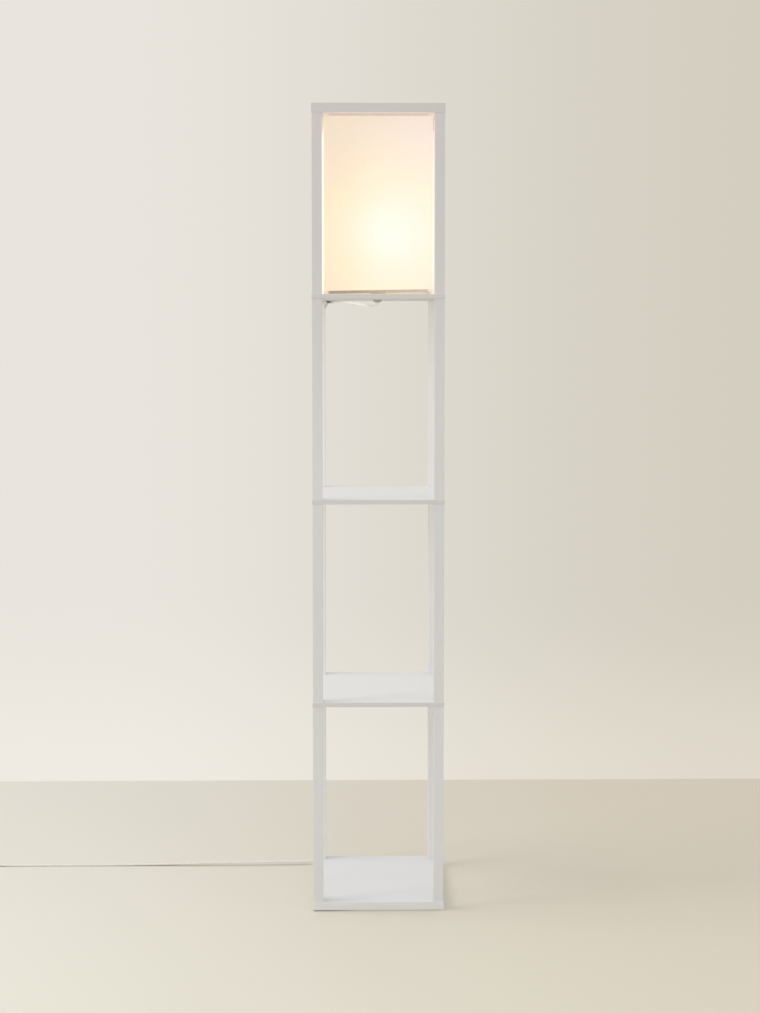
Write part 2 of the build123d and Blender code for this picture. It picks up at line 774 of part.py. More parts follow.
with BuildPart() as cord_lead:
    with BuildLine() as lead_line:
        FilletPolyline(*LEAD_ROUTE, radius=cord_arcs("cord_lead", LEAD_ROUTE))
    with BuildSketch(Plane(origin=lead_line.line @ 0, z_dir=lead_line.line % 0)):
        Circle(cord_radius)
    sweep(path=lead_line.line)
compare_volume("cord_lead", cord_lead.part, lead_line.line)
cord_lead.part.label = "cord_lead"
export_step(cord_lead.part, "parts/cord_lead.step")

with BuildPart() as cord_run:
    with BuildLine() as run_line:
        FilletPolyline(*RUN_ROUTE, radius=cord_arcs("cord_run", RUN_ROUTE))
    with BuildSketch(Plane(origin=run_line.line @ 0, z_dir=run_line.line % 0)):
        Circle(cord_radius)
    sweep(path=run_line.line)
compare_volume("cord_run", cord_run.part, run_line.line)
cord_run.part.label = "cord_run"
export_step(cord_run.part, "parts/cord_run.step")

# The corner clip is a strap across the lead, just before the lead passes the post.
clip_from = Vector(*LEAD_ROUTE[8])
clip_to = Vector(*LEAD_ROUTE[9])
along = (clip_to - clip_from).normalized()
across = along.cross(Vector(0, 0, 1))
clip_middle = (clip_from + clip_to) * 0.5
clip_foot = clip_middle - along * (CORNER_CLIP_LENGTH / 2)
clip_plane = Plane(origin=(clip_foot.X, clip_foot.Y, lamp_board_low), x_dir=across, z_dir=along)
arch_deep = channel_depth + CLEARANCE
with BuildPart() as corner_clip:
    with BuildSketch(clip_plane):
        with BuildLine():
            half_span = CORNER_CLIP_SPAN / 2
            half_channel = channel_width / 2
            Polyline(
                (-half_span, 0),
                (-half_channel, 0),
                (-half_channel, arch_deep),
                (half_channel, arch_deep),
                (half_channel, 0),
                (half_span, 0),
                (half_span, CORNER_CLIP_SHEET),
                (half_channel + CORNER_CLIP_SHEET, CORNER_CLIP_SHEET),
                (half_channel + CORNER_CLIP_SHEET, arch_deep + CORNER_CLIP_SHEET),
                (-half_channel - CORNER_CLIP_SHEET, arch_deep + CORNER_CLIP_SHEET),
                (-half_channel - CORNER_CLIP_SHEET, CORNER_CLIP_SHEET),
                (-half_span, CORNER_CLIP_SHEET),
                close=True,
            )
        make_face()
    extrude(amount=CORNER_CLIP_LENGTH)
    ears = Vector(clip_middle.X, clip_middle.Y, lamp_board_low - CORNER_CLIP_SHEET)
    screw_at = (half_channel + CORNER_CLIP_SHEET + half_span) / 2
    with BuildSketch(Plane(origin=ears, x_dir=across, z_dir=(0, 0, -1))):
        with Locations((-screw_at, 0), (screw_at, 0)):
            Circle(SCREW_HEAD_RADIUS)
    extrude(amount=SCREW_HEAD_HEIGHT)
corner_clip.part.label = "corner_clip"
export_step(corner_clip.part, "parts/corner_clip.step")

clip_heights = [LAST_CLIP, lamp_board_low - FIRST_CLIP]
for low in shelf_lows[:2]:
    clip_heights += [low - CLIP_FROM_END, low + SHELF_THICK + CLIP_FROM_END]
clip_face = Plane(origin=(-post_at, post_back, 0), x_dir=(1, 0, 0), z_dir=(0, 0, 1))
with BuildPart() as cord_clips:
    for height in clip_heights:
        with BuildSketch(clip_face.offset(height - CLIP_LENGTH / 2)):
            with Locations((0, (CLIP_BACK + channel_depth + CLIP_ROOF) / 2)):
                Rectangle(CLIP_SPAN, CLIP_BACK + channel_depth + CLIP_ROOF)
            with Locations((0, CLIP_BACK + channel_depth / 2)):
                Rectangle(channel_width, channel_depth, mode=Mode.SUBTRACT)
        extrude(amount=CLIP_LENGTH)
    chamfer(cord_clips.edges().filter_by(Axis.Z).group_by(Axis.Y)[-1], CLIP_ROOF)
cord_clips.part.label = "cord_clips"
export_step(cord_clips.part, "parts/cord_clips.step")

# ---- Foot switch ----

switch_in = Vector(*RUN_ROUTE[-1])
switch_y = switch_in.Y
switch_x = switch_in.X - BOOT_LENGTH - SWITCH_LENGTH / 2
switch_out = switch_x - SWITCH_LENGTH / 2 - BOOT_LENGTH
cord_height = switch_in.Z
boot_end = (CORD_WIDTH + BOOT_SKIN[0], CORD_THICK + BOOT_SKIN[1])

with BuildPart() as switch_base:
    with BuildSketch():
        with Locations((switch_x, switch_y)):
            RectangleRounded(SWITCH_LENGTH, SWITCH_WIDTH, SWITCH_CORNER)
    extrude(amount=SWITCH_SPLIT)
    chamfer(switch_base.faces().sort_by(Axis.Z)[0].edges(), SWITCH_WALL / 4)
    with BuildSketch(Plane.XY.offset(SWITCH_WALL)):
        with Locations((switch_x, switch_y)):
            RectangleRounded(
                SWITCH_LENGTH - 2 * SWITCH_WALL, SWITCH_WIDTH - 2 * SWITCH_WALL, SWITCH_CORNER - SWITCH_WALL
            )
    extrude(amount=SWITCH_SPLIT - SWITCH_WALL, mode=Mode.SUBTRACT)
switch_base.part.label = "switch_base"
export_step(switch_base.part, "parts/switch_base.step")

with BuildPart() as switch_cover:
    with BuildSketch(Plane.XY.offset(SWITCH_SPLIT)):
        with Locations((switch_x, switch_y)):
            RectangleRounded(SWITCH_LENGTH, SWITCH_WIDTH, SWITCH_CORNER)
    extrude(amount=SWITCH_HEIGHT - SWITCH_SPLIT)
    fillet(switch_cover.faces().sort_by(Axis.Z)[-1].edges(), SWITCH_ROUND)
    with BuildSketch(Plane.XY.offset(SWITCH_SPLIT)):
        with Locations((switch_x, switch_y)):
            RectangleRounded(
                SWITCH_LENGTH - 2 * SWITCH_WALL, SWITCH_WIDTH - 2 * SWITCH_WALL, SWITCH_CORNER - SWITCH_WALL
            )
    extrude(amount=SWITCH_HEIGHT - SWITCH_WALL - SWITCH_SPLIT, mode=Mode.SUBTRACT)
    with BuildSketch(Plane.XY.offset(SWITCH_SPLIT)):
        with Locations((switch_x, switch_y)):
            Circle(BUTTON_RADIUS + BUTTON_GAP)
    extrude(amount=SWITCH_HEIGHT, mode=Mode.SUBTRACT)
switch_cover.part.label = "switch_cover"
export_step(switch_cover.part, "parts/switch_cover.step")

button_top = SWITCH_HEIGHT + BUTTON_RISE
flange_top = SWITCH_HEIGHT - SWITCH_WALL - BUTTON_GAP
flange_low = flange_top - BUTTON_FLANGE
with BuildPart() as switch_button:
    with BuildSketch(Plane.XY.offset(flange_low)):
        with Locations((switch_x, switch_y)):
            Circle(BUTTON_RADIUS)
    extrude(amount=button_top - flange_low)
    fillet(switch_button.faces().sort_by(Axis.Z)[-1].edges(), BUTTON_LIP)
    with BuildSketch(Plane.XY.offset(flange_low)):
        with Locations((switch_x, switch_y)):
            Circle(BUTTON_RADIUS + BUTTON_LIP)
    extrude(amount=BUTTON_FLANGE)
switch_button.part.label = "switch_button"
export_step(switch_button.part, "parts/switch_button.step")

with BuildPart() as switch_spring:
    with BuildSketch(Plane.XY.offset(SWITCH_WALL)):
        with Locations((switch_x, switch_y)):
            Circle(SPRING_RADIUS)
            Circle(SPRING_RADIUS - SPRING_WALL, mode=Mode.SUBTRACT)
    extrude(amount=flange_low - SWITCH_WALL)
switch_spring.part.label = "switch_spring"
export_step(switch_spring.part, "parts/switch_spring.step")

with BuildPart() as switch_contacts:
    for end in (-1, 1):
        with BuildSketch(Plane.XY.offset(SWITCH_WALL)):
            with Locations((switch_x + end * (SWITCH_LENGTH / 2 - TONGUE_FROM_END), switch_y)):
                Rectangle(TONGUE_THICK, TONGUE_WIDTH)
        extrude(amount=TONGUE_HEIGHT)
switch_contacts.part.label = "switch_contacts"
export_step(switch_contacts.part, "parts/switch_contacts.step")

with BuildPart() as switch_boots:
    for end in (1, -1):
        wall = switch_x + end * SWITCH_LENGTH / 2
        for distance, size in ((0, BOOT_START), (BOOT_LENGTH, boot_end)):
            section = Plane(
                origin=(wall + end * distance, switch_y, cord_height), x_dir=(0, 1, 0), z_dir=(end, 0, 0)
            )
            with BuildSketch(section):
                SlotOverall(*size)
        loft()
switch_boots.part.label = "switch_boots"
export_step(switch_boots.part, "parts/switch_boots.step")

# ---- Coil ----

coil_low = COIL_LIFT + cord_radius
coil_high = coil_low + CORD_THICK + COIL_LAYER_GAP
coil_step = CORD_WIDTH + COIL_TURN_GAP
coil_middle = Vector(switch_out - COIL_ASIDE, switch_y - COIL_RADIUS, 0)
REVERSAL = COIL_TURNS / 2
CLIMB = 0.25
STRAND_ENDS = (0.0, COIL_TURNS)


def coil_radius(turns):
    """The lead spirals in at a steady rate, and out again past the reversal."""
    return COIL_RADIUS - coil_step * (REVERSAL - abs(turns - REVERSAL))


def coil_height(turns):
    """Lower layer, then a climb in the half turn round the reversal, then upper layer."""
    climbed = (turns - REVERSAL + CLIMB) / (2 * CLIMB)
    climbed = min(max(climbed, 0.0), 1.0)
    return coil_low + (coil_high - coil_low) * climbed**2 * (3 - 2 * climbed)


def coil_point(turns):
    angle = math.radians(90 + 360 * turns)
    radius = coil_radius(turns)
    return Vector(
        coil_middle.X + radius * math.cos(angle), coil_middle.Y + radius * math.sin(angle), coil_height(turns)
    )


def coil_heading(turns):
    """The way the lead runs there: straight round at both ends and at the reversal."""
    angle = math.radians(90 + 360 * turns)
    if turns in (*STRAND_ENDS, REVERSAL):
        inward = 0.0
    else:
        inward = coil_step / (2 * math.pi) * (-1 if turns < REVERSAL else 1)
    radius = coil_radius(turns)
    step = 0.001
    rise = (coil_height(turns + step) - coil_height(turns - step)) / (4 * math.pi * step)
    return Vector(
        inward * math.cos(angle) - radius * math.sin(angle),
        inward * math.sin(angle) + radius * math.cos(angle),
        rise,
    ).normalized()


def biarc(start, start_heading, end, end_heading):
    """Two arcs that meet smoothly and carry the lead from one point and heading to the next."""
    gap = end - start
    both = start_heading + end_heading
    square = 2 * (1 - start_heading.dot(end_heading))
    reach = gap.dot(both)
    if square < 1e-6:
        length = gap.dot(gap) / (2 * reach)
    else:
        length = (math.sqrt(reach**2 + square * gap.dot(gap)) - reach) / square
    before = start + start_heading * length
    after = end - end_heading * length
    middle = (before + after) * 0.5
    TangentArc(start, middle, tangent=start_heading)
    TangentArc(middle, end, tangent=(after - before).normalized())


plug_start = Vector(coil_middle.X + COIL_TAIL, coil_middle.Y - COIL_RADIUS, coil_high)
with BuildPart() as cord_coil:
    with BuildLine() as coil_line:
        run_start = Vector(switch_out, switch_y, cord_height)
        ramp_start = run_start + Vector(-COIL_START_RUN, 0, 0)
        Line(run_start, ramp_start)
        biarc(ramp_start, Vector(-1, 0, 0), coil_point(0), coil_heading(0))
        for quarter in range(int(4 * COIL_TURNS)):
            biarc(
                coil_point(quarter / 4),
                coil_heading(quarter / 4),
                coil_point((quarter + 1) / 4),
                coil_heading((quarter + 1) / 4),
            )
        Line(coil_point(COIL_TURNS), plug_start)
    with BuildSketch(Plane(origin=run_start, z_dir=(-1, 0, 0))):
        Circle(cord_radius)
    sweep(path=coil_line.line)
compare_volume("cord_coil", cord_coil.part, coil_line.line)
cord_coil.part.label = "cord_coil"
export_step(cord_coil.part, "parts/cord_coil.step")

coil_wire = coil_line.wire()
steps = int(coil_wire.length / COIL_SAMPLE)
samples = [coil_wire @ (step / steps) for step in range(steps + 1)]
apart = int(COIL_APART / COIL_SAMPLE)
gaps = [(one - other).length for place, one in enumerate(samples) for other in samples[place + apart :]]
print("least gap between the coil's turns", round(min(gaps) - CORD_THICK, 2))

# The tie goes round the strands on the coil's right side, under and over them.
tie_inside = (
    coil_radius(REVERSAL) - CORD_WIDTH / 2 - TIE_ROOM,
    coil_radius(REVERSAL - 1) + CORD_WIDTH / 2 + TIE_ROOM,
)
tie_low = coil_low - cord_radius - CLEARANCE
tie_high = coil_high + cord_radius + TIE_ROOM
tie_plane = Plane(
    origin=(coil_middle.X, coil_middle.Y + TIE_WIDTH / 2, 0), x_dir=(1, 0, 0), z_dir=(0, -1, 0)
)
tie_wide = tie_inside[1] - tie_inside[0]
tie_tall = tie_high - tie_low
with BuildPart() as coil_tie:
    with BuildSketch(tie_plane):
        with Locations(((tie_inside[0] + tie_inside[1]) / 2, (tie_low + tie_high) / 2)):
            RectangleRounded(tie_wide + 2 * TIE_THICK, tie_tall + 2 * TIE_THICK, 2 * TIE_THICK)
            RectangleRounded(tie_wide, tie_tall, TIE_THICK, mode=Mode.SUBTRACT)
    extrude(amount=TIE_WIDTH)
coil_tie.part.label = "coil_tie"
export_step(coil_tie.part, "parts/coil_tie.step")

# ---- Plug ----

body_start = plug_start.X + TAIL_LENGTH
body_end = body_start + PLUG_LENGTH
plug_face = Plane(origin=(body_end, plug_start.Y, plug_start.Z), x_dir=(0, 1, 0), z_dir=(1, 0, 0))
blade_places = [(-BLADE_SPACING / 2, BLADE_WIDTHS[0]), (BLADE_SPACING / 2, BLADE_WIDTHS[1])]
with BuildPart() as plug_body:
    with BuildSketch(plug_face.offset(-PLUG_LENGTH)):
        Rectangle(PLUG_WIDTH, PLUG_THICK)
    extrude(amount=PLUG_LENGTH)
    fillet(plug_body.edges(), PLUG_ROUND)
    for offset_back, size in ((TAIL_LENGTH, boot_end), (-PLUG_ROUND, TAIL_START)):
        with BuildSketch(plug_face.offset(-PLUG_LENGTH - offset_back)):
            SlotOverall(*size)
    loft()
    with BuildSketch(plug_face.offset(-BLADE_GRIP - BLADE_GAP)):
        for across_face, width in blade_places:
            with Locations((across_face, 0)):
                Rectangle(BLADE_THICK + 2 * BLADE_GAP, width + 2 * BLADE_GAP)
    extrude(amount=BLADE_GRIP + BLADE_GAP, mode=Mode.SUBTRACT)
plug_body.part.label = "plug_body"
export_step(plug_body.part, "parts/plug_body.step")

with BuildPart() as plug_blades:
    with BuildSketch(plug_face.offset(-BLADE_GRIP)):
        for across_face, width in blade_places:
            with Locations((across_face, 0)):
                Rectangle(BLADE_THICK, width)
    extrude(amount=BLADE_GRIP + BLADE_LENGTH)
    tip = plug_face.origin + Vector(BLADE_LENGTH - BLADE_HOLE_FROM_TIP, 0, 0)
    with BuildSketch(Plane(origin=tip, x_dir=(1, 0, 0), z_dir=(0, 1, 0))):
        Circle(BLADE_HOLE)
    extrude(amount=BLADE_SPACING, both=True, mode=Mode.SUBTRACT)
    chamfer(plug_blades.faces().sort_by(Axis.X)[-2:].edges().filter_by(Axis.Y), BLADE_THICK / 2)
plug_blades.part.label = "plug_blades"
export_step(plug_blades.part, "parts/plug_blades.step")
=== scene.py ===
import math

import bmesh
import bpy
from mathutils import Matrix, Vector


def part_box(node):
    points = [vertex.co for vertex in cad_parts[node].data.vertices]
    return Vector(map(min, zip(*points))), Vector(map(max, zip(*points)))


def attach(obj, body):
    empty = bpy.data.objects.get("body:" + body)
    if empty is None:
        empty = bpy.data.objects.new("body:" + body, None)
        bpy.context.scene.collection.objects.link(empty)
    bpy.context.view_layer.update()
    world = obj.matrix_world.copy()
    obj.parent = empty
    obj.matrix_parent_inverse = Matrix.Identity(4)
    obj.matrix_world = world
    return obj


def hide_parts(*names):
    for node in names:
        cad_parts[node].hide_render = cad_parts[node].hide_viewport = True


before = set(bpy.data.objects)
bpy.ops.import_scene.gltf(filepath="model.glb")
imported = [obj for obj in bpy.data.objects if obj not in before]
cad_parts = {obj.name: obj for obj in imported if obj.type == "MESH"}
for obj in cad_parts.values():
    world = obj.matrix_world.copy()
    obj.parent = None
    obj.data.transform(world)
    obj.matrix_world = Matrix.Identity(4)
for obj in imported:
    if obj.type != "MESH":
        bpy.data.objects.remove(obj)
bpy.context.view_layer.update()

# ---- Felt pads ----
# Four round pads, punched out of dense grey felt and stuck under the base board near its corners.
# The punch leaves a soft rim, and the felt is mottled and a little hairy.


def tint(red, green, blue):
    """A colour in steps of 0 to 255, as a shader takes it."""
    parts = [part / 255 for part in (red, green, blue)]
    return tuple(p / 12.92 if p < 0.04045 else ((p + 0.055) / 1.055) ** 2.4 for p in parts) + (1.0,)


class Wire:
    """A value that changes over a surface. An expression on it adds its Math nodes."""

    def __init__(self, finish, socket):
        self.finish = finish
        self.socket = socket

    def __add__(self, other):
        return self.finish.worked("ADD", self, other)

    def __radd__(self, other):
        return self.finish.worked("ADD", other, self)

    def __sub__(self, other):
        return self.finish.worked("SUBTRACT", self, other)

    def __rsub__(self, other):
        return self.finish.worked("SUBTRACT", other, self)

    def __mul__(self, other):
        return self.finish.worked("MULTIPLY", self, other)

    def __rmul__(self, other):
        return self.finish.worked("MULTIPLY", other, self)

    def __truediv__(self, other):
        return self.finish.worked("DIVIDE", self, other)

    def __rtruediv__(self, other):
        return self.finish.worked("DIVIDE", other, self)

    def __pow__(self, other):
        return self.finish.worked("POWER", self, other)

    def __abs__(self):
        return self.finish.worked("ABSOLUTE", self)

    def between(self, low, high):
        """0 up to low and 1 from high, with a soft step from one to the other."""
        return self.finish.node(
            "ShaderNodeMapRange",
            {"interpolation_type": "SMOOTHSTEP"},
            {"Value": self, "From Min": low, "From Max": high},
        )


class Finish:
    """What a surface is made of: one Principled shader and the nodes that feed it."""

    def __init__(self, name, rough=0.5, **constants):
        self.material = bpy.data.materials.new(name)
        self.material.use_nodes = True
        self.tree = self.material.node_tree
        self.shader = self.tree.nodes["Principled BSDF"]
        self.set("Roughness", rough)
        for socket, value in constants.items():
            self.set(socket.replace("_", " "), value)

    def feed(self, socket, value):
        if isinstance(value, Wire):
            self.tree.links.new(value.socket, socket)
        else:
            socket.default_value = value

    def node(self, kind, settings=None, values=None, output=0):
        """Add a node, with its settings first, a ramp's stops among them, and then its sockets."""
        node = self.tree.nodes.new(kind)
        for name, setting in (settings or {}).items():
            if name == "stops":
                ramp = node.color_ramp.elements
                ramp.remove(ramp[-1])
                for number, (at, colour) in enumerate(setting):
                    stop = ramp[0] if number == 0 else ramp.new(at)
                    stop.position = at
                    stop.color = colour
            else:
                setattr(node, name, setting)
        for socket, value in (values or {}).items():
            self.feed(node.inputs[socket], value)
        return Wire(self, node.outputs[output])

    def worked(self, operation, *values):
        """A Math node on numbers or links, in their order."""
        return self.node("ShaderNodeMath", {"operation": operation}, dict(enumerate(values)))

    def set(self, socket, value):
        self.feed(self.shader.inputs[socket], value)

    def spot(self, stretch=(1.0, 1.0, 1.0), source="Object"):
        """Where on the piece, in metres, stretched along each axis if the pattern is."""
        here = self.node("ShaderNodeTexCoord", output=source)
        if stretch == (1.0, 1.0, 1.0):
            return here
        return self.node("ShaderNodeMapping", None, {"Vector": here, "Scale": stretch})

    def noise(self, scale, detail=2.0, spot=None):
        return self.node(
            "ShaderNodeTexNoise", None, {"Vector": spot or self.spot(), "Scale": scale, "Detail": detail}
        )

    def along(self, axis):
        """How far along one of the frame's axes, in metres."""
        return self.node("ShaderNodeSeparateXYZ", None, {0: self.spot()}, axis)

    def facing(self, axis):
        """How far the surface faces along an axis, from -1 to 1."""
        normal = self.node("ShaderNodeNewGeometry", output="Normal")
        return self.node("ShaderNodeSeparateXYZ", None, {0: normal}, axis)

    def mix(self, mask, plain, other):
        """A colour, and another where the mask is 1."""
        return self.node("ShaderNodeMix", {"data_type": "RGBA"}, {0: mask, 6: plain, 7: other}, 2)

    def bump(self, height, strength, depth):
        self.set(
            "Normal",
            self.node("ShaderNodeBump", None, {"Height": height, "Strength": strength, "Distance": depth}),
        )

    def cover(self, *pieces):
        """Give this finish to new pieces and, by name, to CAD nodes."""
        for piece in pieces:
            mesh = (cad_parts[piece] if isinstance(piece, str) else piece).data
            if not mesh.materials:
                mesh.materials.append(self.material)
            for number in range(len(mesh.materials)):
                mesh.materials[number] = self.material


def let_go():
    """Leave edit mode and select nothing."""
    if bpy.context.object and bpy.context.object.mode == "EDIT":
        bpy.ops.object.mode_set(mode="OBJECT")
    bpy.ops.object.select_all(action="DESELECT")


def settled(piece, name):
    """Name a piece and leave its place, turn and size in its mesh."""
    let_go()
    piece.select_set(True)
    bpy.context.view_layer.objects.active = piece
    bpy.ops.object.transform_apply(location=True, rotation=True, scale=True)
    piece.name = name
    return piece


def drawn(name, stations, sides=48, foot=(0.0, 0.0, 0.0), heading=(0.0, 0.0, 1.0), flat=(1.0, 0.0, 0.0)):
    """A turned or tapered piece: a circle drawn on from station to station and resized at each.

    A station is a distance from the foot and half the width there, and half the thickness too
    where the piece is oval. The first and last rings are closed, or join if they're the same.
    """
    let_go()
    stations = [(at, *half) if len(half) == 2 else (at, *half, *half) for at, *half in stations]
    at, wide, thick = stations[0]
    bpy.ops.mesh.primitive_circle_add(vertices=sides, radius=1.0)
    piece = bpy.context.object
    bpy.ops.object.mode_set(mode="EDIT")
    bpy.ops.mesh.select_mode(type="VERT")
    bpy.ops.mesh.select_all(action="SELECT")
    bpy.ops.transform.resize(value=(wide, thick, 1.0), center_override=(0.0, 0.0, 0.0))
    bpy.ops.transform.translate(value=(0.0, 0.0, at))
    for after, next_wide, next_thick in stations[1:]:
        bpy.ops.mesh.extrude_region_move(TRANSFORM_OT_translate={"value": (0.0, 0.0, after - at)})
        bpy.ops.transform.resize(
            value=(next_wide / wide, next_thick / thick, 1.0), center_override=(0.0, 0.0, after)
        )
        at, wide, thick = after, next_wide, next_thick
    bpy.ops.mesh.select_all(action="SELECT")
    bpy.ops.mesh.remove_doubles(threshold=1e-6)
    bpy.ops.mesh.fill_holes(sides=0)
    bpy.ops.mesh.select_all(action="SELECT")
    bpy.ops.mesh.normals_make_consistent(inside=False)
    bpy.ops.object.mode_set(mode="OBJECT")
    ahead, side = Vector(heading).normalized(), Vector(flat).normalized()
    turned = Matrix((side, ahead.cross(side), ahead)).transposed().to_4x4()
    piece.matrix_world = Matrix.Translation(foot) @ turned
    settled(piece, name)
    bpy.ops.object.shade_smooth_by_angle(angle=math.radians(40))
    return piece


def repeated(piece, moves):
    """Copies of a finished piece, each with its own mesh, and all joined to it."""
    let_go()
    for move in moves:
        copy = piece.copy()
        copy.data = piece.data.copy()
        copy.data.transform(Matrix.Translation(move))
        bpy.context.collection.objects.link(copy)
        copy.select_set(True)
    piece.select_set(True)
    bpy.context.view_layer.objects.active = piece
    bpy.ops.object.join()
    return piece


pad_at = 0.098
pad_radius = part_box("foot_pads")[1].x - pad_at
felt_pads = drawn(
    "felt_pads",
    [
        (0.0, pad_radius - 0.0007),
        (0.0003, pad_radius - 0.0002),
        (0.0008, pad_radius),
        (0.0014, pad_radius - 0.0001),
        (0.002, pad_radius - 0.0004),
    ],
    foot=(pad_at, pad_at, 0.0),
)
repeated(felt_pads, [(-2 * pad_at, 0, 0), (0, -2 * pad_at, 0), (-2 * pad_at, -2 * pad_at, 0)])
felt = Finish("grey_felt", 0.95, Sheen_Weight=0.25)
clumps = felt.noise(420, 5)
hairs = felt.noise(1500, 3, felt.spot((1.0, 0.35, 2.5)))
felt.set("Base Color", felt.mix(clumps.between(0.35, 0.65), tint(104, 100, 95), tint(132, 127, 120)))
felt.bump(clumps * 0.5 + hairs * 0.5, 0.6, 0.0004)
felt.cover(felt_pads)
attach(felt_pads, "lamp")
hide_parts("foot_pads")

# ---- Base board and shelves ----
# Four square boards of wood fibre, the base thicker than the three above it, with eased edges.
# They are sprayed with satin white paint, which lies in a very fine orange peel. On the three
# thin boards the tops are painted lighter and the sawn edges and undersides darker than on the
# base board: a painted light and a painted shade.

paint = Finish("satin_white_paint")
clouds = paint.noise(5, 3)
peel = paint.noise(430, 3)
dust = paint.noise(38, 5)
above_base = paint.along("Z").between(0.1, 0.4)
# The thin boards' sawn edges and undersides are painted darker and their tops lighter than the base board's:
# a painted shade and a painted light.
edges_painted_shade = paint.mix(above_base, tint(234, 234, 236), tint(221, 219, 219))
tops_painted_light = paint.mix(clouds.between(0.3, 0.7), tint(230, 230, 231), tint(233, 233, 234))
tops_painted_light = paint.mix(above_base, tops_painted_light, tint(237, 237, 237))
paint.set("Base Color", paint.mix(paint.facing("Z").between(0.4, 0.9), edges_painted_shade, tops_painted_light))
paint.set("Roughness", 0.42 + 0.12 * dust)
paint.bump(peel, 0.12, 0.0003)
paint.cover("base_board", "lower_shelf", "upper_shelf", "lamp_board")

# ---- Posts ----
# Sixteen square posts of the same painted fibre board, four in each tier, set in a little from
# the boards' edges. Each shows a fine sprayed grain that runs up it. They are painted darker
# towards the top, a painted shade, and the back posts' fronts are painted lighter, most of all
# near the lamp: a painted light.

post_paint = Finish("satin_white_posts")
clouds = post_paint.noise(6, 3, post_paint.spot((1.0, 1.0, 0.35)))
grain = post_paint.noise(520, 3, post_paint.spot((1.0, 1.0, 0.3)))
dust = post_paint.noise(30, 5)
height = post_paint.along("Z")
sprayed_and_painted_shade = post_paint.mix(clouds.between(0.3, 0.7), tint(227, 227, 229), tint(231, 231, 233))
# Darker towards the top: a painted shade.
sprayed_and_painted_shade = post_paint.mix(height.between(0.8, 1.5), sprayed_and_painted_shade, tint(221, 219, 219))
# The back posts' fronts, which face inward, are painted lighter, most of all up near the lamp: a painted
# light.
back_posts_painted_light = post_paint.mix(height.between(0.2, 1.1), tint(239, 239, 241), tint(251, 250, 250))
inward = post_paint.along("Y").between(0.0, 0.05) * post_paint.facing("Y").between(-0.4, -0.9)
post_paint.set("Base Color", post_paint.mix(inward, sprayed_and_painted_shade, back_posts_painted_light))
post_paint.set("Roughness", 0.40 + 0.14 * dust)
post_paint.bump(grain, 0.12, 0.0003)
tiers = ("lower", "middle", "upper", "lamp")
corners = ("front_left", "front_right", "back_left", "back_right")
post_paint.cover(*[f"{tier}_post_{corner}" for tier in tiers for corner in corners])

# ---- Inserts, studs, bolts and dowels ----
# Zinc plated inserts in the posts' ends, studs through the shelves and bolts up through the base
# hold the tiers together. Beech dowels hold the top frame on the lamp posts.

zinc = Finish("zinc_plate", Metallic=1.0)
spangle = zinc.node("ShaderNodeTexVoronoi", None, {"Vector": zinc.spot(), "Scale": 620.0}, "Color")
shade_of = zinc.node("ShaderNodeSeparateColor", None, {0: spangle})
zinc.set("Base Color", zinc.mix(shade_of, tint(176, 178, 181), tint(206, 208, 210)))
zinc.set("Roughness", 0.28 + 0.16 * zinc.noise(300, 3))
zinc.bump(zinc.noise(900, 2), 0.08, 0.0002)
zinc.cover("post_inserts", "joining_studs", "base_bolts", "mounting_nipple", "lock_nut", "lock_washer")

beech = Finish("raw_beech", 0.7)
rings = beech.noise(260, 4, beech.spot((1.0, 1.0, 0.08)))
pores = beech.noise(1400, 2, beech.spot((1.0, 1.0, 0.12)))
beech.set("Base Color", beech.mix(rings.between(0.35, 0.65), tint(205, 172, 128), tint(224, 195, 154)))
beech.bump(rings * 0.6 + pores * 0.4, 0.3, 0.0002)
beech.cover("frame_dowels")

# ---- Lampholder ----
# A moulded cap and threaded skirt hold a glazed insulator with the pressed brass screw shell and
# contact. A ribbed ring on the skirt clamps the shade, and a bushing lines the nipple's mouth.

moulded = Finish("moulded_white", Coat_Weight=0.15, Coat_Roughness=0.25)
flow = moulded.noise(55, 4, moulded.spot((1.0, 1.0, 0.4)))
moulded.set("Base Color", moulded.mix(flow.between(0.35, 0.65), tint(232, 229, 221), tint(238, 235, 229)))
moulded.set("Roughness", 0.34 + 0.12 * moulded.noise(120, 4))
moulded.bump(moulded.noise(1300, 2), 0.06, 0.0002)
moulded.cover("holder_cap", "holder_skirt", "shade_ring", "cord_bushing", "bulb_collar")

glaze = Finish("white_glaze", 0.16, Coat_Weight=0.6, Coat_Roughness=0.05)
cloudy = glaze.noise(140, 3)
specks = glaze.noise(900, 1).between(0.72, 0.78)
milk = glaze.mix(cloudy.between(0.4, 0.6), tint(236, 233, 225), tint(242, 240, 234))
glaze.set("Base Color", glaze.mix(specks, milk, tint(186, 178, 165)))
glaze.bump(cloudy, 0.05, 0.0003)
glaze.cover("holder_insulator")

brass = Finish("pressed_brass", Metallic=1.0)
tarnish = brass.noise(160, 5)
drag = brass.noise(700, 2, brass.spot((1.0, 1.0, 6.0)))
brass.set("Base Color", brass.mix(tarnish.between(0.4, 0.7), tint(222, 190, 118), tint(196, 158, 92)))
brass.set("Roughness", 0.22 + 0.22 * tarnish)
brass.bump(drag, 0.08, 0.0001)
brass.cover("screw_shell", "centre_contact", "switch_contacts")

# ---- Bulb ----
# A lit globe bulb: a drawn metal screw cap with a black glass button and a contact, a white
# collar, and an opal globe, which is brightest in its middle and yellower towards its neck.

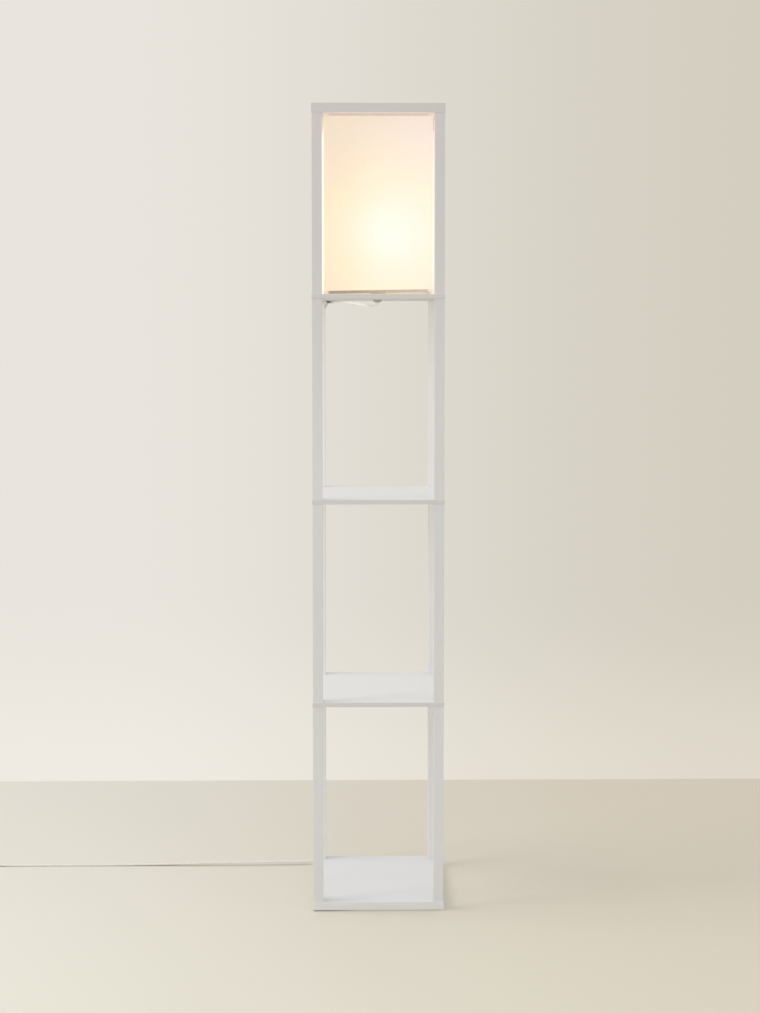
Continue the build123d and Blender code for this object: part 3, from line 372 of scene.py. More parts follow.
drawn_sheet = Finish("drawn_sheet_metal", Metallic=1.0)
rubbed = drawn_sheet.noise(240, 4, drawn_sheet.spot((1.0, 1.0, 5.0)))
pale_sheet = drawn_sheet.mix(rubbed.between(0.35, 0.65), tint(196, 196, 194), tint(214, 214, 211))
drawn_sheet.set("Base Color", pale_sheet)
drawn_sheet.set("Roughness", 0.24 + 0.18 * rubbed)
drawn_sheet.bump(rubbed, 0.06, 0.0001)
drawn_sheet.cover("bulb_cap")

black_glass = Finish("black_glass", 0.12, Coat_Weight=0.5, Coat_Roughness=0.08)
bubbles = black_glass.noise(700, 3)
black_glass.set("Base Color", black_glass.mix(bubbles.between(0.5, 0.7), tint(22, 22, 26), tint(44, 43, 48)))
black_glass.bump(bubbles, 0.12, 0.0002)
black_glass.cover("bulb_contact")

globe_low, globe_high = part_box("bulb_globe")
globe_radius = (globe_high.x - globe_low.x) / 2
globe_middle = globe_high.z - globe_radius
neck = math.asin((globe_low.z - globe_middle) / globe_radius)
crown = math.radians(88)
rings_up = 28
rise = [neck + (crown - neck) * ring / (rings_up - 1) for ring in range(rings_up)]
opal_bulb = drawn(
    "opal_bulb",
    [(globe_middle + globe_radius * math.sin(turn), globe_radius * math.cos(turn)) for turn in rise],
    sides=72,
)
opal = Finish("lit_opal_glass", 0.18, Coat_Weight=0.4, Coat_Roughness=0.08, Emission_Strength=5.0)
height = opal.along("Z")
milky = opal.noise(60, 2)
opal.set("Base Color", opal.mix(milky.between(0.35, 0.65), tint(246, 243, 236), tint(250, 248, 243)))
opal.set(
    "Emission Color",
    opal.mix(height.between(globe_low.z, globe_middle + 0.01), tint(255, 222, 178), tint(255, 244, 222)),
)
opal.cover(opal_bulb)
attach(opal_bulb, "bulb")
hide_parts("bulb_globe")

# ---- Shade ----
# A square tube of woven off-white fabric on a stiff backing, stretched over two wire hoops. Its
# long sides pull in by a hair between the hoops. The bulb's light through it is a painted glow.


def choose(piece, wanted, kind="FACE"):
    """Go into edit mode on a piece, with only the faces, edges or points that are wanted selected."""
    let_go()
    piece.select_set(True)
    bpy.context.view_layer.objects.active = piece
    bpy.ops.object.mode_set(mode="EDIT")
    bpy.ops.mesh.select_mode(type=kind)
    bpy.ops.mesh.select_all(action="DESELECT")
    mesh = bmesh.from_edit_mesh(piece.data)
    mesh.normal_update()
    for part in {"FACE": mesh.faces, "EDGE": mesh.edges, "VERT": mesh.verts}[kind]:
        if wanted(part):
            part.select_set(True)
    mesh.select_flush_mode()
    bmesh.update_edit_mesh(piece.data)


def modified(piece, kind, **settings):
    """Add a modifier to a piece and apply it."""
    let_go()
    piece.select_set(True)
    bpy.context.view_layer.objects.active = piece
    modifier = piece.modifiers.new(kind.lower(), kind)
    for name, setting in settings.items():
        setattr(modifier, name, setting)
    bpy.ops.object.modifier_apply(modifier=modifier.name)


def square_tube(name, side, low, high, corner, rows, columns):
    """An open square tube with round corners, its sides divided into rows and columns."""

    def rise(edge):
        return abs(edge.verts[0].co.z - edge.verts[1].co.z)

    let_go()
    bpy.ops.mesh.primitive_cube_add(size=1.0, location=(0.0, 0.0, (low + high) / 2))
    tube = bpy.context.object
    tube.scale = (side, side, high - low)
    settled(tube, name)
    choose(tube, lambda face: abs(face.normal.z) > 0.9)
    bpy.ops.mesh.delete(type="ONLY_FACE")
    choose(tube, lambda edge: rise(edge) > 0.5 * (high - low), "EDGE")
    bpy.ops.mesh.bevel(offset=corner, offset_type="OFFSET", segments=5, affect="EDGES")
    choose(tube, lambda edge: edge.calc_length() > side / 2 and rise(edge) < 1e-6, "EDGE")
    bpy.ops.mesh.subdivide(number_cuts=columns)
    choose(tube, lambda edge: rise(edge) > 0.5 * (high - low), "EDGE")
    bpy.ops.mesh.subdivide(number_cuts=rows)
    bpy.ops.object.mode_set(mode="OBJECT")
    return tube


shade_low, shade_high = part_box("shade")
shade_side = shade_high.x - shade_low.x
shade_tall = shade_high.z - shade_low.z
shade_half = shade_side / 2
shade_corner = 0.004
waist = 0.0011
hem_skew = 0.0018
fabric_shade = square_tube("fabric_shade", shade_side, shade_low.z, shade_high.z, shade_corner, 15, 11)
for point in fabric_shade.data.vertices:
    along = max(0.0, 1 - (min(abs(point.co.x), abs(point.co.y)) / shade_half) ** 2)
    up = math.sin(math.pi * (point.co.z - shade_low.z) / shade_tall)
    pulled = 1 - waist * along * up / shade_half
    if abs(point.co.x) > abs(point.co.y):
        point.co.x *= pulled
    else:
        point.co.y *= pulled
modified(fabric_shade, "SOLIDIFY", thickness=0.0008, offset=-1.0)
choose(fabric_shade, lambda face: True)
bpy.ops.mesh.normals_make_consistent(inside=False)
bpy.ops.uv.cube_project(cube_size=1.0)
bpy.ops.object.mode_set(mode="OBJECT")
bpy.ops.object.shade_smooth_by_angle(angle=math.radians(40))


def woven(name, brightness):
    """Fabric with a painted glow: a plain weave with slubs, and the bulb's light through it painted
    on as a glow that fades with distance from it.

    The room's light shows the fabric at a share of the thread's own colour. The painted glow is
    what the bulb adds to that, and it is painted whiter towards the right.
    """
    cloth = Finish(name, 0.85, Sheen_Weight=0.15, Emission_Strength=1.0)
    room_share = 0.72
    thread = tint(196, 189, 176)
    slubs = cloth.noise(90, 4, cloth.spot((1.0, 14.0, 1.0), "UV"))
    warp = cloth.noise(110, 4, cloth.spot((14.0, 1.0, 1.0), "UV"))
    unevenness = (slubs + warp) * 0.5
    hot_spot = (0.013, 0.0, 1.338)
    ends = {0: cloth.spot(), 1: hot_spot}
    away = cloth.node("ShaderNodeVectorMath", {"operation": "DISTANCE"}, ends, "Value")
    nearness = (shade_half / away) ** 3
    seen = [
        (0.04, (249, 232, 212)),
        (0.08, (246, 229, 213)),
        (0.17, (251, 233, 212)),
        (0.32, (254, 240, 214)),
        (0.60, (255, 245, 223)),
        (1.00, (255, 253, 237)),
    ]
    stops = []
    for at, colour in seen:
        added = [brightness * (whole - room_share * own) for whole, own in zip(tint(*colour), thread)]
        stops.append((at, (*added[:3], 1.0)))
    glow = cloth.node("ShaderNodeValToRGB", {"stops": stops}, {0: nearness})
    warm, cool = (0.965, 0.95, 0.87, 1.0), (1.0, 1.025, 1.12, 1.0)
    warmth = cloth.mix(cloth.along("X").between(-0.1, 0.1), warm, cool)
    glow = cloth.node("ShaderNodeVectorMath", {"operation": "MULTIPLY"}, {0: glow, 1: warmth})
    thinness = 0.965 + 0.07 * unevenness
    glow = cloth.node("ShaderNodeVectorMath", {"operation": "SCALE"}, {0: glow, "Scale": thinness})
    woven_colour = cloth.mix(unevenness.between(0.35, 0.65), tint(192, 185, 172), tint(200, 193, 180))
    cloth.set("Base Color", woven_colour)
    cloth.set("Emission Color", glow)
    cloth.bump(unevenness, 0.25, 0.0003)
    return cloth


fabric = woven("lit_woven_fabric", 1.0)
fabric.cover(fabric_shade)
# The backing inside has the same painted glow, dimmer.
lining = woven("lit_backing", 0.66)
fabric_shade.data.materials.append(lining.material)
for face in fabric_shade.data.polygons:
    if face.normal.xy.dot(face.center.xy) < 0.01 * shade_side:
        face.material_index = 1
for point in fabric_shade.data.vertices:
    if point.co.z < shade_low.z + 0.001:
        point.co.z += hem_skew * point.co.x / shade_half
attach(fabric_shade, "lamp")
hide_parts("shade")

# The fabric is folded in round each hoop and glued, and a hem shows there. Its glow is painted
# dimmer than the shade's and its thread painted darker, a painted shade, most of all on the lower
# hem's left, except at the corners, where the hoop bends away from it and the glow is painted
# brighter. The lower hem hangs a little askew.
hem_fabric = Finish("hem_fabric", 0.9, Sheen_Weight=0.1, Emission_Strength=1.0)
threads = hem_fabric.noise(160, 4, hem_fabric.spot((1.0, 6.0, 1.0)))
x_away, y_away = abs(hem_fabric.along("X")), abs(hem_fabric.along("Y"))
at_corner = hem_fabric.worked("MINIMUM", x_away, y_away).between(0.093, 0.101)
# The hems' glow is painted: dimmer on the lower hem's left, and brighter at the corners.
low_glow = hem_fabric.mix(hem_fabric.along("X").between(-0.1, 0.1), tint(96, 78, 60), tint(148, 136, 126))
hem_glow = hem_fabric.mix(hem_fabric.along("Z").between(1.3, 1.5), low_glow, tint(174, 162, 156))
# The hems' thread is painted darker than the shade's: a painted shade.
hem_thread_painted_shade = hem_fabric.mix(threads.between(0.35, 0.65), tint(160, 148, 134), tint(170, 158, 144))
hem_fabric.set("Base Color", hem_thread_painted_shade)
hem_fabric.set("Emission Color", hem_fabric.mix(at_corner, hem_glow, tint(200, 188, 168)))
hem_fabric.bump(threads, 0.3, 0.0003)
proud = 0.0002
for name, low, high, skew in (
    ("upper_hem", shade_high.z - 0.0052, shade_high.z, 0.0),
    ("lower_hem", shade_low.z, shade_low.z + 0.0056, hem_skew),
):
    hem = square_tube(name, shade_side + 2 * proud, low, high, shade_corner + proud, 1, 7)
    for point in hem.data.vertices:
        point.co.z += skew * point.co.x / shade_half
    modified(hem, "SOLIDIFY", thickness=0.0005, offset=-1.0)
    choose(hem, lambda face: True)
    bpy.ops.mesh.normals_make_consistent(inside=False)
    let_go()
    hem_fabric.cover(hem)
    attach(hem, "lamp")

# The wire hoops and the spider, powder coated white
wire_coat = Finish("white_powder_coat")
texture = wire_coat.noise(1100, 3)
wire_coat.set("Base Color", wire_coat.mix(wire_coat.noise(70, 3), tint(228, 226, 221), tint(236, 234, 230)))
wire_coat.set("Roughness", 0.42 + 0.16 * texture)
wire_coat.bump(texture, 0.2, 0.0002)
wire_coat.cover("shade_spider", "shade_hoop_top")

# ---- Top frame ----
# Four rails of the same painted board round the shade's open top. The front and back ones run
# from side to side and hold the ends of the other two, with dowels there and down into the lamp
# posts. They are painted a little darker than the posts: a painted shade.

rail_paint = Finish("satin_white_rails")
clouds = rail_paint.noise(6, 3)
grain = rail_paint.noise(520, 3)
# Painted a little darker than the posts: a painted shade.
sprayed_and_painted_shade = rail_paint.mix(clouds.between(0.3, 0.7), tint(218, 215, 214), tint(221, 218, 217))
rail_paint.set("Base Color", sprayed_and_painted_shade)
rail_paint.set("Roughness", 0.40 + 0.14 * rail_paint.noise(32, 5))
rail_paint.bump(grain, 0.12, 0.0003)
rail_paint.cover("top_rail_front", "top_rail_back", "top_rail_left", "top_rail_right")

# ---- Lead ----
# A flat twin lead in white insulation, 7.1 mm by 3.6 mm. It leaves the bushing under the lamp
# board, droops to a steel clip at the back left corner, and runs down behind that post in clips.
# Under the lamp board the lead glows, a painted light, fading out towards the corner.


def smooth_line(route, steps):
    """The points that a route's own smooth line passes through."""
    let_go()
    curve = bpy.data.curves.new("route", "CURVE")
    curve.dimensions = "3D"
    curve.resolution_u = steps
    spline = curve.splines.new("NURBS")
    spline.points.add(len(route) - 1)
    for control, place in zip(spline.points, route):
        control.co = (*place, 1.0)
    spline.order_u = 3
    spline.use_endpoint_u = True
    holder = bpy.data.objects.new("route", curve)
    line = bpy.data.meshes.new_from_object(holder)
    points = [point.co.copy() for point in line.vertices]
    bpy.data.objects.remove(holder)
    bpy.data.meshes.remove(line)
    return points


def twin_section():
    """Two round cores side by side with a web between them, and fine ribs on one of them."""
    core, apart, web, rib = 0.0018, 0.00175, 0.00105, 0.00007
    points = []
    for step in range(15):
        turn = math.radians(-140 + 20 * step)
        points.append((apart + core * math.cos(turn), core * math.sin(turn)))
    points.append((0.0, web))
    for step in range(29):
        turn = math.radians(40 + 10 * step)
        out = core - (rib if step % 2 else 0.0)
        points.append((-apart + out * math.cos(turn), out * math.sin(turn)))
    points.append((0.0, -web))
    return points


def twin_lead(name, route, across, steps=12):
    """The flat lead along a route, lying flat the way that across gives, and the points it follows."""
    line = smooth_line(route, steps)
    section = twin_section()
    mesh = bmesh.new()
    wrap = mesh.loops.layers.uv.new("wrap")
    rings, lengths = [], [0.0]
    for number, point in enumerate(line):
        before, after = line[max(number - 1, 0)], line[min(number + 1, len(line) - 1)]
        ahead = (after - before).normalized()
        flat = across(point, ahead)
        flat = (flat - ahead * flat.dot(ahead)).normalized()
        up = ahead.cross(flat)
        rings.append([mesh.verts.new(point + flat * side + up * high) for side, high in section])
        if number:
            lengths.append(lengths[-1] + (point - line[number - 1]).length)
    count = len(section)
    round_lead = 0.02
    for number, (ring, following) in enumerate(zip(rings, rings[1:])):
        for place in range(count):
            after = (place + 1) % count
            face = mesh.faces.new((ring[place], ring[after], following[after], following[place]))
            face.smooth = True
            ends = ((place, number), (place + 1, number), (place + 1, number + 1), (place, number + 1))
            for loop, (turn, reached) in zip(face.loops, ends):
                loop[wrap].uv = (turn / count * round_lead, lengths[reached])
    mesh.faces.new(list(reversed(rings[0])))
    mesh.faces.new(rings[-1])
    bmesh.ops.recalc_face_normals(mesh, faces=mesh.faces)
    data = bpy.data.meshes.new(name)
    mesh.to_mesh(data)
    mesh.free()
    piece = bpy.data.objects.new(name, data)
    bpy.context.collection.objects.link(piece)
    return piece, line


def eased(value, low, high):
    """0 up to low and 1 from high, as a soft step in plain numbers."""
    part = min(max((value - low) / (high - low), 0.0), 1.0)
    return part * part * (3 - 2 * part)


soft_vinyl = Finish("soft_white_vinyl", Coat_Weight=0.1, Coat_Roughness=0.3, Emission_Strength=0.4)
marks = soft_vinyl.noise(70, 4, soft_vinyl.spot((6.0, 1.0, 1.0), "UV"))
handled = soft_vinyl.mix(marks.between(0.35, 0.7), tint(236, 233, 229), tint(228, 224, 218))
soft_vinyl.set("Base Color", handled)
soft_vinyl.set("Roughness", 0.36 + 0.16 * marks)
unlit = (0.0, 0.0, 0.0, 1.0)
# The lead's run under the lamp board glows: a painted light, fading out towards the corner and weaker by the
# nut.
rightward = soft_vinyl.along("X")
lead_painted_light = rightward.between(-0.10, -0.05) * (1 - 0.55 * rightward.between(-0.035, -0.008))
lead_painted_light = lead_painted_light * soft_vinyl.along("Z").between(1.185, 1.195)
soft_vinyl.set("Emission Color", soft_vinyl.mix(lead_painted_light, unlit, tint(252, 250, 246)))
soft_vinyl.bump(soft_vinyl.noise(500, 2, soft_vinyl.spot(source="UV")), 0.08, 0.0002)

lead_route = [
    (0.0, 0.0, 1.2110),
    (0.0, 0.0, 1.2033),
    (-0.0040, 0.0043, 1.1980),
    (-0.0120, 0.0129, 1.1993),
    (-0.0255, 0.0278, 1.2024),
    (-0.0415, 0.0458, 1.2057),
    (-0.0585, 0.0652, 1.2083),
    (-0.0765, 0.0858, 1.2096),
    (-0.0930, 0.1045, 1.2099),
    (-0.1032, 0.1184, 1.2099),
    (-0.1038, 0.1340, 1.2088),
    (-0.1102, 0.1426, 1.2000),
    (-0.1180, 0.1382, 1.1840),
    (-0.1190, 0.1324, 1.1620),
    (-0.1190, 0.1324, 1.1270),
    (-0.1194, 0.1330, 1.0800),
    (-0.1189, 0.1338, 1.0230),
    (-0.1183, 0.1335, 0.9660),
    (-0.1186, 0.1328, 0.9100),
    (-0.1190, 0.1324, 0.8620),
    (-0.1190, 0.1324, 0.8260),
    (-0.1191, 0.1325, 0.7700),
    (-0.1197, 0.1331, 0.7150),
    (-0.1200, 0.1339, 0.6580),
    (-0.1196, 0.1337, 0.6000),
    (-0.1191, 0.1328, 0.5420),
    (-0.1189, 0.1325, 0.4840),
    (-0.1190, 0.1324, 0.4300),
    (-0.1190, 0.1325, 0.3740),
    (-0.1188, 0.1329, 0.3200),
    (-0.1182, 0.1336, 0.2660),
    (-0.1184, 0.1335, 0.2100),
    (-0.1188, 0.1327, 0.1560),
    (-0.1190, 0.1324, 0.1220),
    (-0.1190, 0.1324, 0.1000),
]


def lead_flat(point, ahead):
    """Flat to the board's underside, and flat to the post's back below it."""
    at_nut = Vector((0.73, 0.68, 0.0))
    at_clip = Vector((0.81, 0.59, 0.0))
    nut_to_clip = 0.16
    across = at_nut.lerp(at_clip, min(point.xy.length / nut_to_clip, 1.0))
    return across.lerp(Vector((1.0, 0.0, 0.0)), eased(point.z, 1.205, 1.165))


lead, lead_line = twin_lead("lead", lead_route, lead_flat)
soft_vinyl.cover(lead)
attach(lead, "lamp")
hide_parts("cord_lead")

# ---- Lead clips ----
# White nylon saddles over the lead, each tapped on to the back of the post with a steel nail, and
# a bent steel clip with two screws under the lamp board's corner.

clip_low, clip_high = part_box("cord_clips")
clip_heights = [0.112, 0.384, 0.445, 0.785, 0.846, 1.150]
clip_tall = 0.010
clip_rim = 0.0011
channel_wide, channel_deep = 0.0075, 0.0040
channel_y = 0.1324
clip_middle = Vector(((clip_low.x + clip_high.x) / 2, (clip_low.y + clip_high.y) / 2, clip_heights[0]))
clip_wide = clip_high.x - clip_low.x
clip_deep = clip_high.y - clip_low.y


def channel_mouth(face):
    """Whether a face is one of the two where the lead goes through the clip."""
    middle = face.calc_center_median()
    small = face.calc_area() < 1.003 * channel_wide * channel_deep
    central = abs(middle.x - clip_middle.x) < 1e-5 and abs(middle.y - channel_y) < 1e-5
    return abs(face.normal.z) > 0.9 and small and central


let_go()
bpy.ops.mesh.primitive_cube_add(size=1.0, location=clip_middle)
clip = bpy.context.object
clip.scale = (clip_wide, clip_deep, clip_tall)
settled(clip, "lead_clips")
for way in (1, -1):
    choose(clip, lambda face: face.normal.z * way > 0.9)
    bpy.ops.mesh.inset(thickness=clip_rim)
    shrink = (channel_wide / (clip_wide - 2 * clip_rim), channel_deep / (clip_deep - 2 * clip_rim), 1.0)
    end = clip_middle + Vector((0.0, 0.0, way * clip_tall / 2))
    bpy.ops.transform.resize(value=shrink, center_override=end)
    bpy.ops.transform.translate(value=(0.0, channel_y - clip_middle.y, 0.0))
choose(clip, channel_mouth)
bpy.ops.mesh.bridge_edge_loops()
let_go()
modified(clip, "BEVEL", width=0.0005, segments=3, limit_method="ANGLE", angle_limit=math.radians(60))
nail = drawn(
    "nail",
    [(0.0, 0.0011), (0.0003, 0.0013), (0.0006, 0.0011), (0.0008, 0.0006)],
    sides=20,
    foot=(clip_middle.x + 0.0051, clip_high.y - 0.0003, clip_heights[0]),
    heading=(0.0, 1.0, 0.0),
)
nylon = Finish("white_nylon")
nylon.set("Base Color", nylon.mix(nylon.noise(160, 3), tint(232, 231, 226), tint(240, 239, 235)))
nylon.set("Roughness", 0.32 + 0.15 * nylon.noise(400, 3))
nylon.bump(nylon.noise(1200, 2), 0.08, 0.0002)
nylon.cover(clip)
zinc.cover(nail)
moves = [(0.0, 0.0, height - clip_heights[0]) for height in clip_heights[1:]]
for piece, finish_slot in ((clip, "white_plastic"), (nail, "zinc_steel")):
    repeated(piece, moves)
    let_go()
    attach(piece, "lamp")
nail.name = "clip_nails"
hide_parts("cord_clips")

dull_steel = Finish("dull_steel_strip", Metallic=0.6)
scale = dull_steel.noise(180, 5)
scaled = dull_steel.mix(scale.between(0.4, 0.65), tint(150, 147, 143), tint(176, 173, 168))
dull_steel.set("Base Color", scaled)
dull_steel.set("Roughness", 0.40 + 0.22 * scale)
dull_steel.bump(scale, 0.15, 0.0002)
dull_steel.cover("corner_clip")

# ---- Lead on the floor ----
# Below the last clip the lead turns a quarter, comes down to the floor and lies on its flat,
# in a low arch that gives way to the floor, off to the left to the foot switch.

run_route = [
    (-0.1190, 0.1324, 0.1000),
    (-0.1190, 0.1324, 0.0760),
    (-0.1194, 0.1332, 0.0490),
    (-0.1214, 0.1332, 0.0270),
    (-0.1295, 0.1320, 0.0124),
    (-0.1450, 0.1302, 0.0064),
    (-0.1720, 0.1280, 0.0064),
    (-0.2140, 0.1264, 0.0072),
    (-0.2750, 0.1254, 0.0070),
    (-0.3450, 0.1252, 0.0060),
    (-0.4160, 0.1255, 0.0046),
    (-0.4860, 0.1261, 0.0030),
    (-0.5600, 0.1268, 0.0021),
    (-0.6450, 0.1270, 0.00185),
    (-0.7350, 0.1268, 0.00185),
    (-0.7970, 0.1262, 0.0019),
    (-0.8260, 0.1260, 0.0050),
    (-0.8420, 0.1260, 0.0050),
]


def run_flat(point, ahead):
    """Flat to the post at first, and flat to the floor further down."""
    level = Vector((0.0, 0.0, 1.0)).cross(ahead)
    if point.z > 0.03 and point.x > -0.125:
        level = Vector((0.0, -1.0, 0.0))
    turned = math.pi / 2 * eased(point.z, 0.092, 0.032)
    return Vector((math.cos(turned), 0.0, 0.0)) + level.normalized() * math.sin(turned)


floor_lead, floor_line = twin_lead("floor_lead", run_route, run_flat)
soft_vinyl.cover(floor_lead)
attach(floor_lead, "lamp")
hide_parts("cord_run")

# ---- Foot switch ----
# A round-ended box for the foot on the lead, snapped together from a base and a cover, with a
# large push button in its middle and a ribbed rubber boot where the lead goes in and comes out.

switch_case = Finish("white_switch_case", Coat_Weight=0.12, Coat_Roughness=0.3)
swirl = switch_case.noise(45, 4)
moulded_white = switch_case.mix(swirl.between(0.35, 0.65), tint(231, 229, 224), tint(237, 235, 231))
switch_case.set("Base Color", moulded_white)
switch_case.set("Roughness", 0.36 + 0.14 * switch_case.noise(90, 4))
switch_case.bump(switch_case.noise(1500, 2), 0.14, 0.0002)
switch_case.cover("switch_base", "switch_cover", "switch_button")
zinc.cover("switch_spring")

relief_long = 0.022


def ribbed(root, first, pitch, narrowing, thinning, groove, last):
    """The stations of a tapered relief of six ribs, which ends in a plain collar on the lead.

    The root is its first station. Each rib is narrower and thinner than the root by its share
    of the taper, and each station of the groove after it is a distance past the rib's edge, and
    how much narrower and thinner than the rib the relief is there.
    """
    stations = [root]
    for rib in range(6):
        at = first + pitch * rib
        wide = root[1] - narrowing * (at / relief_long)
        thick = root[2] - thinning * (at / relief_long)
        stations.append((at, wide, thick))
        stations += [(at + past, wide - narrower, thick - thinner) for past, narrower, thinner in groove]
    return stations + [(last, 0.0041, 0.0024), (relief_long, 0.0039, 0.0022)]


switch_low, switch_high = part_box("switch_cover")
switch_y, boot_height = 0.126, 0.005
boot_groove = [(0.0004, 0.0006, 0.0006), (0.0012, 0.0006, 0.0006), (0.0016, 0.0001, 0.0001)]
boot_stations = ribbed((0.0, 0.0052, 0.0042), 0.0022, 0.0032, 0.0011, 0.0018, boot_groove, 0.0214)
boots = []
for name, wall, way in (("boot_in", switch_high.x, 1), ("boot_out", switch_low.x, -1)):
    foot = (wall, switch_y, boot_height)
    boots.append(drawn(name, boot_stations, 40, foot, (way, 0.0, 0.0), (0.0, 1.0, 0.0)))
rubber = Finish("soft_white_rubber", 0.55)
rubber.set("Base Color", rubber.mix(rubber.noise(120, 4), tint(229, 226, 220), tint(236, 233, 228)))
rubber.bump(rubber.noise(900, 3), 0.15, 0.0002)
rubber.cover(*boots)
for boot in boots:
    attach(boot, "lamp")
    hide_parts("switch_boots")

# ---- Coiled end of the lead ----
# Past the switch the rest of the lead is wound flat in a round coil, spiralling in and out again
# over itself, and tied on one side with a paper covered wire, its ends twisted together.

coil_middle = Vector((-1.000, 0.078, 0.0))
coil_radius = 0.048
strand_step = 0.0079
first_layer, layer_step = 0.0025, 0.00405
turns, turn_points = 3.5, 24
reversal, half_climb = turns / 2, 0.25
drawn_in = 0.9915  # how much nearer the coil's middle the lead's line lies than the route's points
coil_route = [
    (-0.954, 0.126, 0.0050),
    (-0.957, 0.126, 0.0048),
    (-0.966, 0.1262, 0.0036),
    (-0.978, 0.1264, 0.0027),
]
for step in range(1, int(turns * turn_points)):
    turned = step / turn_points
    angle = math.radians(90 + 360 * turned)
    radius = (coil_radius - strand_step * (reversal - abs(turned - reversal))) / drawn_in
    height = first_layer + layer_step * eased(turned, reversal - half_climb, reversal + half_climb)
    coil_route.append(
        (coil_middle.x + radius * math.cos(angle), coil_middle.y + radius * math.sin(angle), height)
    )
coil_route += [(-1.000, 0.0300, 0.00655), (-0.985, 0.0300, 0.00655), (-0.967, 0.0300, 0.00655)]
coiled_lead, coil_line = twin_lead(
    "coiled_lead", coil_route, lambda point, ahead: Vector((0.0, 0.0, 1.0)).cross(ahead), 4
)
soft_vinyl.cover(coiled_lead)
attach(coiled_lead, "lamp")
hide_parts("cord_coil")

tie_low, tie_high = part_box("coil_tie")
tie_middle = (tie_low + tie_high) / 2
tie_wide = 0.0042
let_go()
bpy.ops.mesh.primitive_cube_add(size=1.0, location=tie_middle)
tie = bpy.context.object
tie.scale = (tie_high.x - tie_low.x, tie_wide, tie_high.z - tie_low.z)
settled(tie, "paper_tie")
choose(tie, lambda face: abs(face.normal.y) > 0.9)
bpy.ops.mesh.delete(type="ONLY_FACE")
choose(tie, lambda edge: abs(edge.verts[0].co.y - edge.verts[1].co.y) > 0.7 * tie_wide, "EDGE")
bpy.ops.mesh.bevel(offset=0.0016, offset_type="OFFSET", segments=5, affect="EDGES")
let_go()
modified(tie, "SOLIDIFY", thickness=0.0004, offset=-1.0)
tie_twist = drawn(
    "tie_twist",
    [
        (0.0, 0.0006),
        (0.0015, 0.0011),
        (0.003, 0.0007),
        (0.0045, 0.0012),
        (0.006, 0.0007),
        (0.0075, 0.0012),
        (0.009, 0.0007),
        (0.0105, 0.001),
        (0.0115, 0.0004),
    ],
    12,
    (tie_high.x - 0.003, tie_middle.y, tie_high.z + 0.0008),
    (0.93, 0.35, 0.06),
    (-0.35, 0.93, 0.0),
)
paper = Finish("white_paper_tie", 0.75)
fibres = paper.noise(500, 4, paper.spot((1.0, 3.0, 1.0)))
paper.set("Base Color", paper.mix(fibres.between(0.35, 0.65), tint(226, 226, 224), tint(238, 238, 237)))
paper.bump(fibres, 0.25, 0.0002)
paper.cover(tie, tie_twist)
for piece in (tie, tie_twist):
    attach(piece, "lamp")
    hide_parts("coil_tie")

# ---- Plug ----
# A moulded two-blade plug beside the coil, with a sunk finger grip above and below, a ribbed
# tapered relief over the lead, and plated blades, one wider than the other.

plug_low, plug_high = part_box("plug_body")
plug_long, plug_thick = 0.028, 0.013
grip_rim, grip_deep = 0.0048, 0.0007
plug_middle = Vector(
    (plug_high.x - plug_long / 2, (plug_low.y + plug_high.y) / 2, (plug_low.z + plug_high.z) / 2)
)
let_go()
bpy.ops.mesh.primitive_cube_add(size=1.0, location=plug_middle)
plug = bpy.context.object
plug.scale = (plug_long, plug_high.y - plug_low.y, plug_thick)
settled(plug, "plug_moulding")
for way in (1, -1):
    choose(plug, lambda face: face.normal.z * way > 0.9)
    bpy.ops.mesh.inset(thickness=grip_rim)
    bpy.ops.mesh.extrude_region_move(TRANSFORM_OT_translate={"value": (0.0, 0.0, -grip_deep * way)})
    bpy.ops.transform.resize(value=(0.9, 0.9, 1.0), center_override=plug_middle)
let_go()
modified(plug, "BEVEL", width=0.0022, segments=4, limit_method="ANGLE", angle_limit=math.radians(50))
bpy.ops.object.shade_smooth_by_angle(angle=math.radians(35))
relief_groove = [(0.0004, 0.0007, 0.0006), (0.0013, 0.0008, 0.0006), (0.0017, 0.0002, 0.0001)]
relief_stations = ribbed((-0.002, 0.0075, 0.0048), 0.0010, 0.0034, 0.0034, 0.0024, relief_groove, 0.0213)
relief_foot = (plug_high.x - plug_long, plug_middle.y, plug_middle.z)
relief = drawn("plug_relief", relief_stations, 40, relief_foot, (-1.0, 0.0, 0.0), (0.0, 1.0, 0.0))
vinyl = Finish("moulded_white_vinyl", Coat_Weight=0.1, Coat_Roughness=0.35)
vinyl.set("Base Color", vinyl.mix(vinyl.noise(80, 4), tint(230, 227, 222), tint(236, 233, 229)))
vinyl.set("Roughness", 0.42 + 0.14 * vinyl.noise(160, 4))
vinyl.bump(vinyl.noise(1400, 2), 0.15, 0.0002)
vinyl.cover(plug, relief)
for piece in (plug, relief):
    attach(piece, "lamp")
    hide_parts("plug_body")
nickel = Finish("nickel_plate", Metallic=1.0)
drag = nickel.noise(500, 3, nickel.spot((0.2, 1.0, 1.0)))
nickel.set("Base Color", nickel.mix(drag.between(0.35, 0.65), tint(200, 198, 192), tint(216, 214, 208)))
nickel.set("Roughness", 0.2 + 0.16 * drag)
nickel.bump(drag, 0.06, 0.0001)
nickel.cover("plug_blades")

# ---- Room, light and camera ----
# A pale warm floor, lit by soft even light from all round and a large soft lamp on the left, and
# a wall behind it, which only the camera and reflections see. Both are painted lighter to the
# left, the floor towards the camera too and the wall lower down: a painted light. The camera
# stands 3 m away at chest height and looks down a little.

world = bpy.data.worlds.new("room_light")
bpy.context.scene.world = world
world.use_nodes = True
air = world.node_tree.nodes["Background"]
air.inputs["Color"].default_value = (1.0, 0.995, 0.985, 1.0)
air.inputs["Strength"].default_value = 0.80

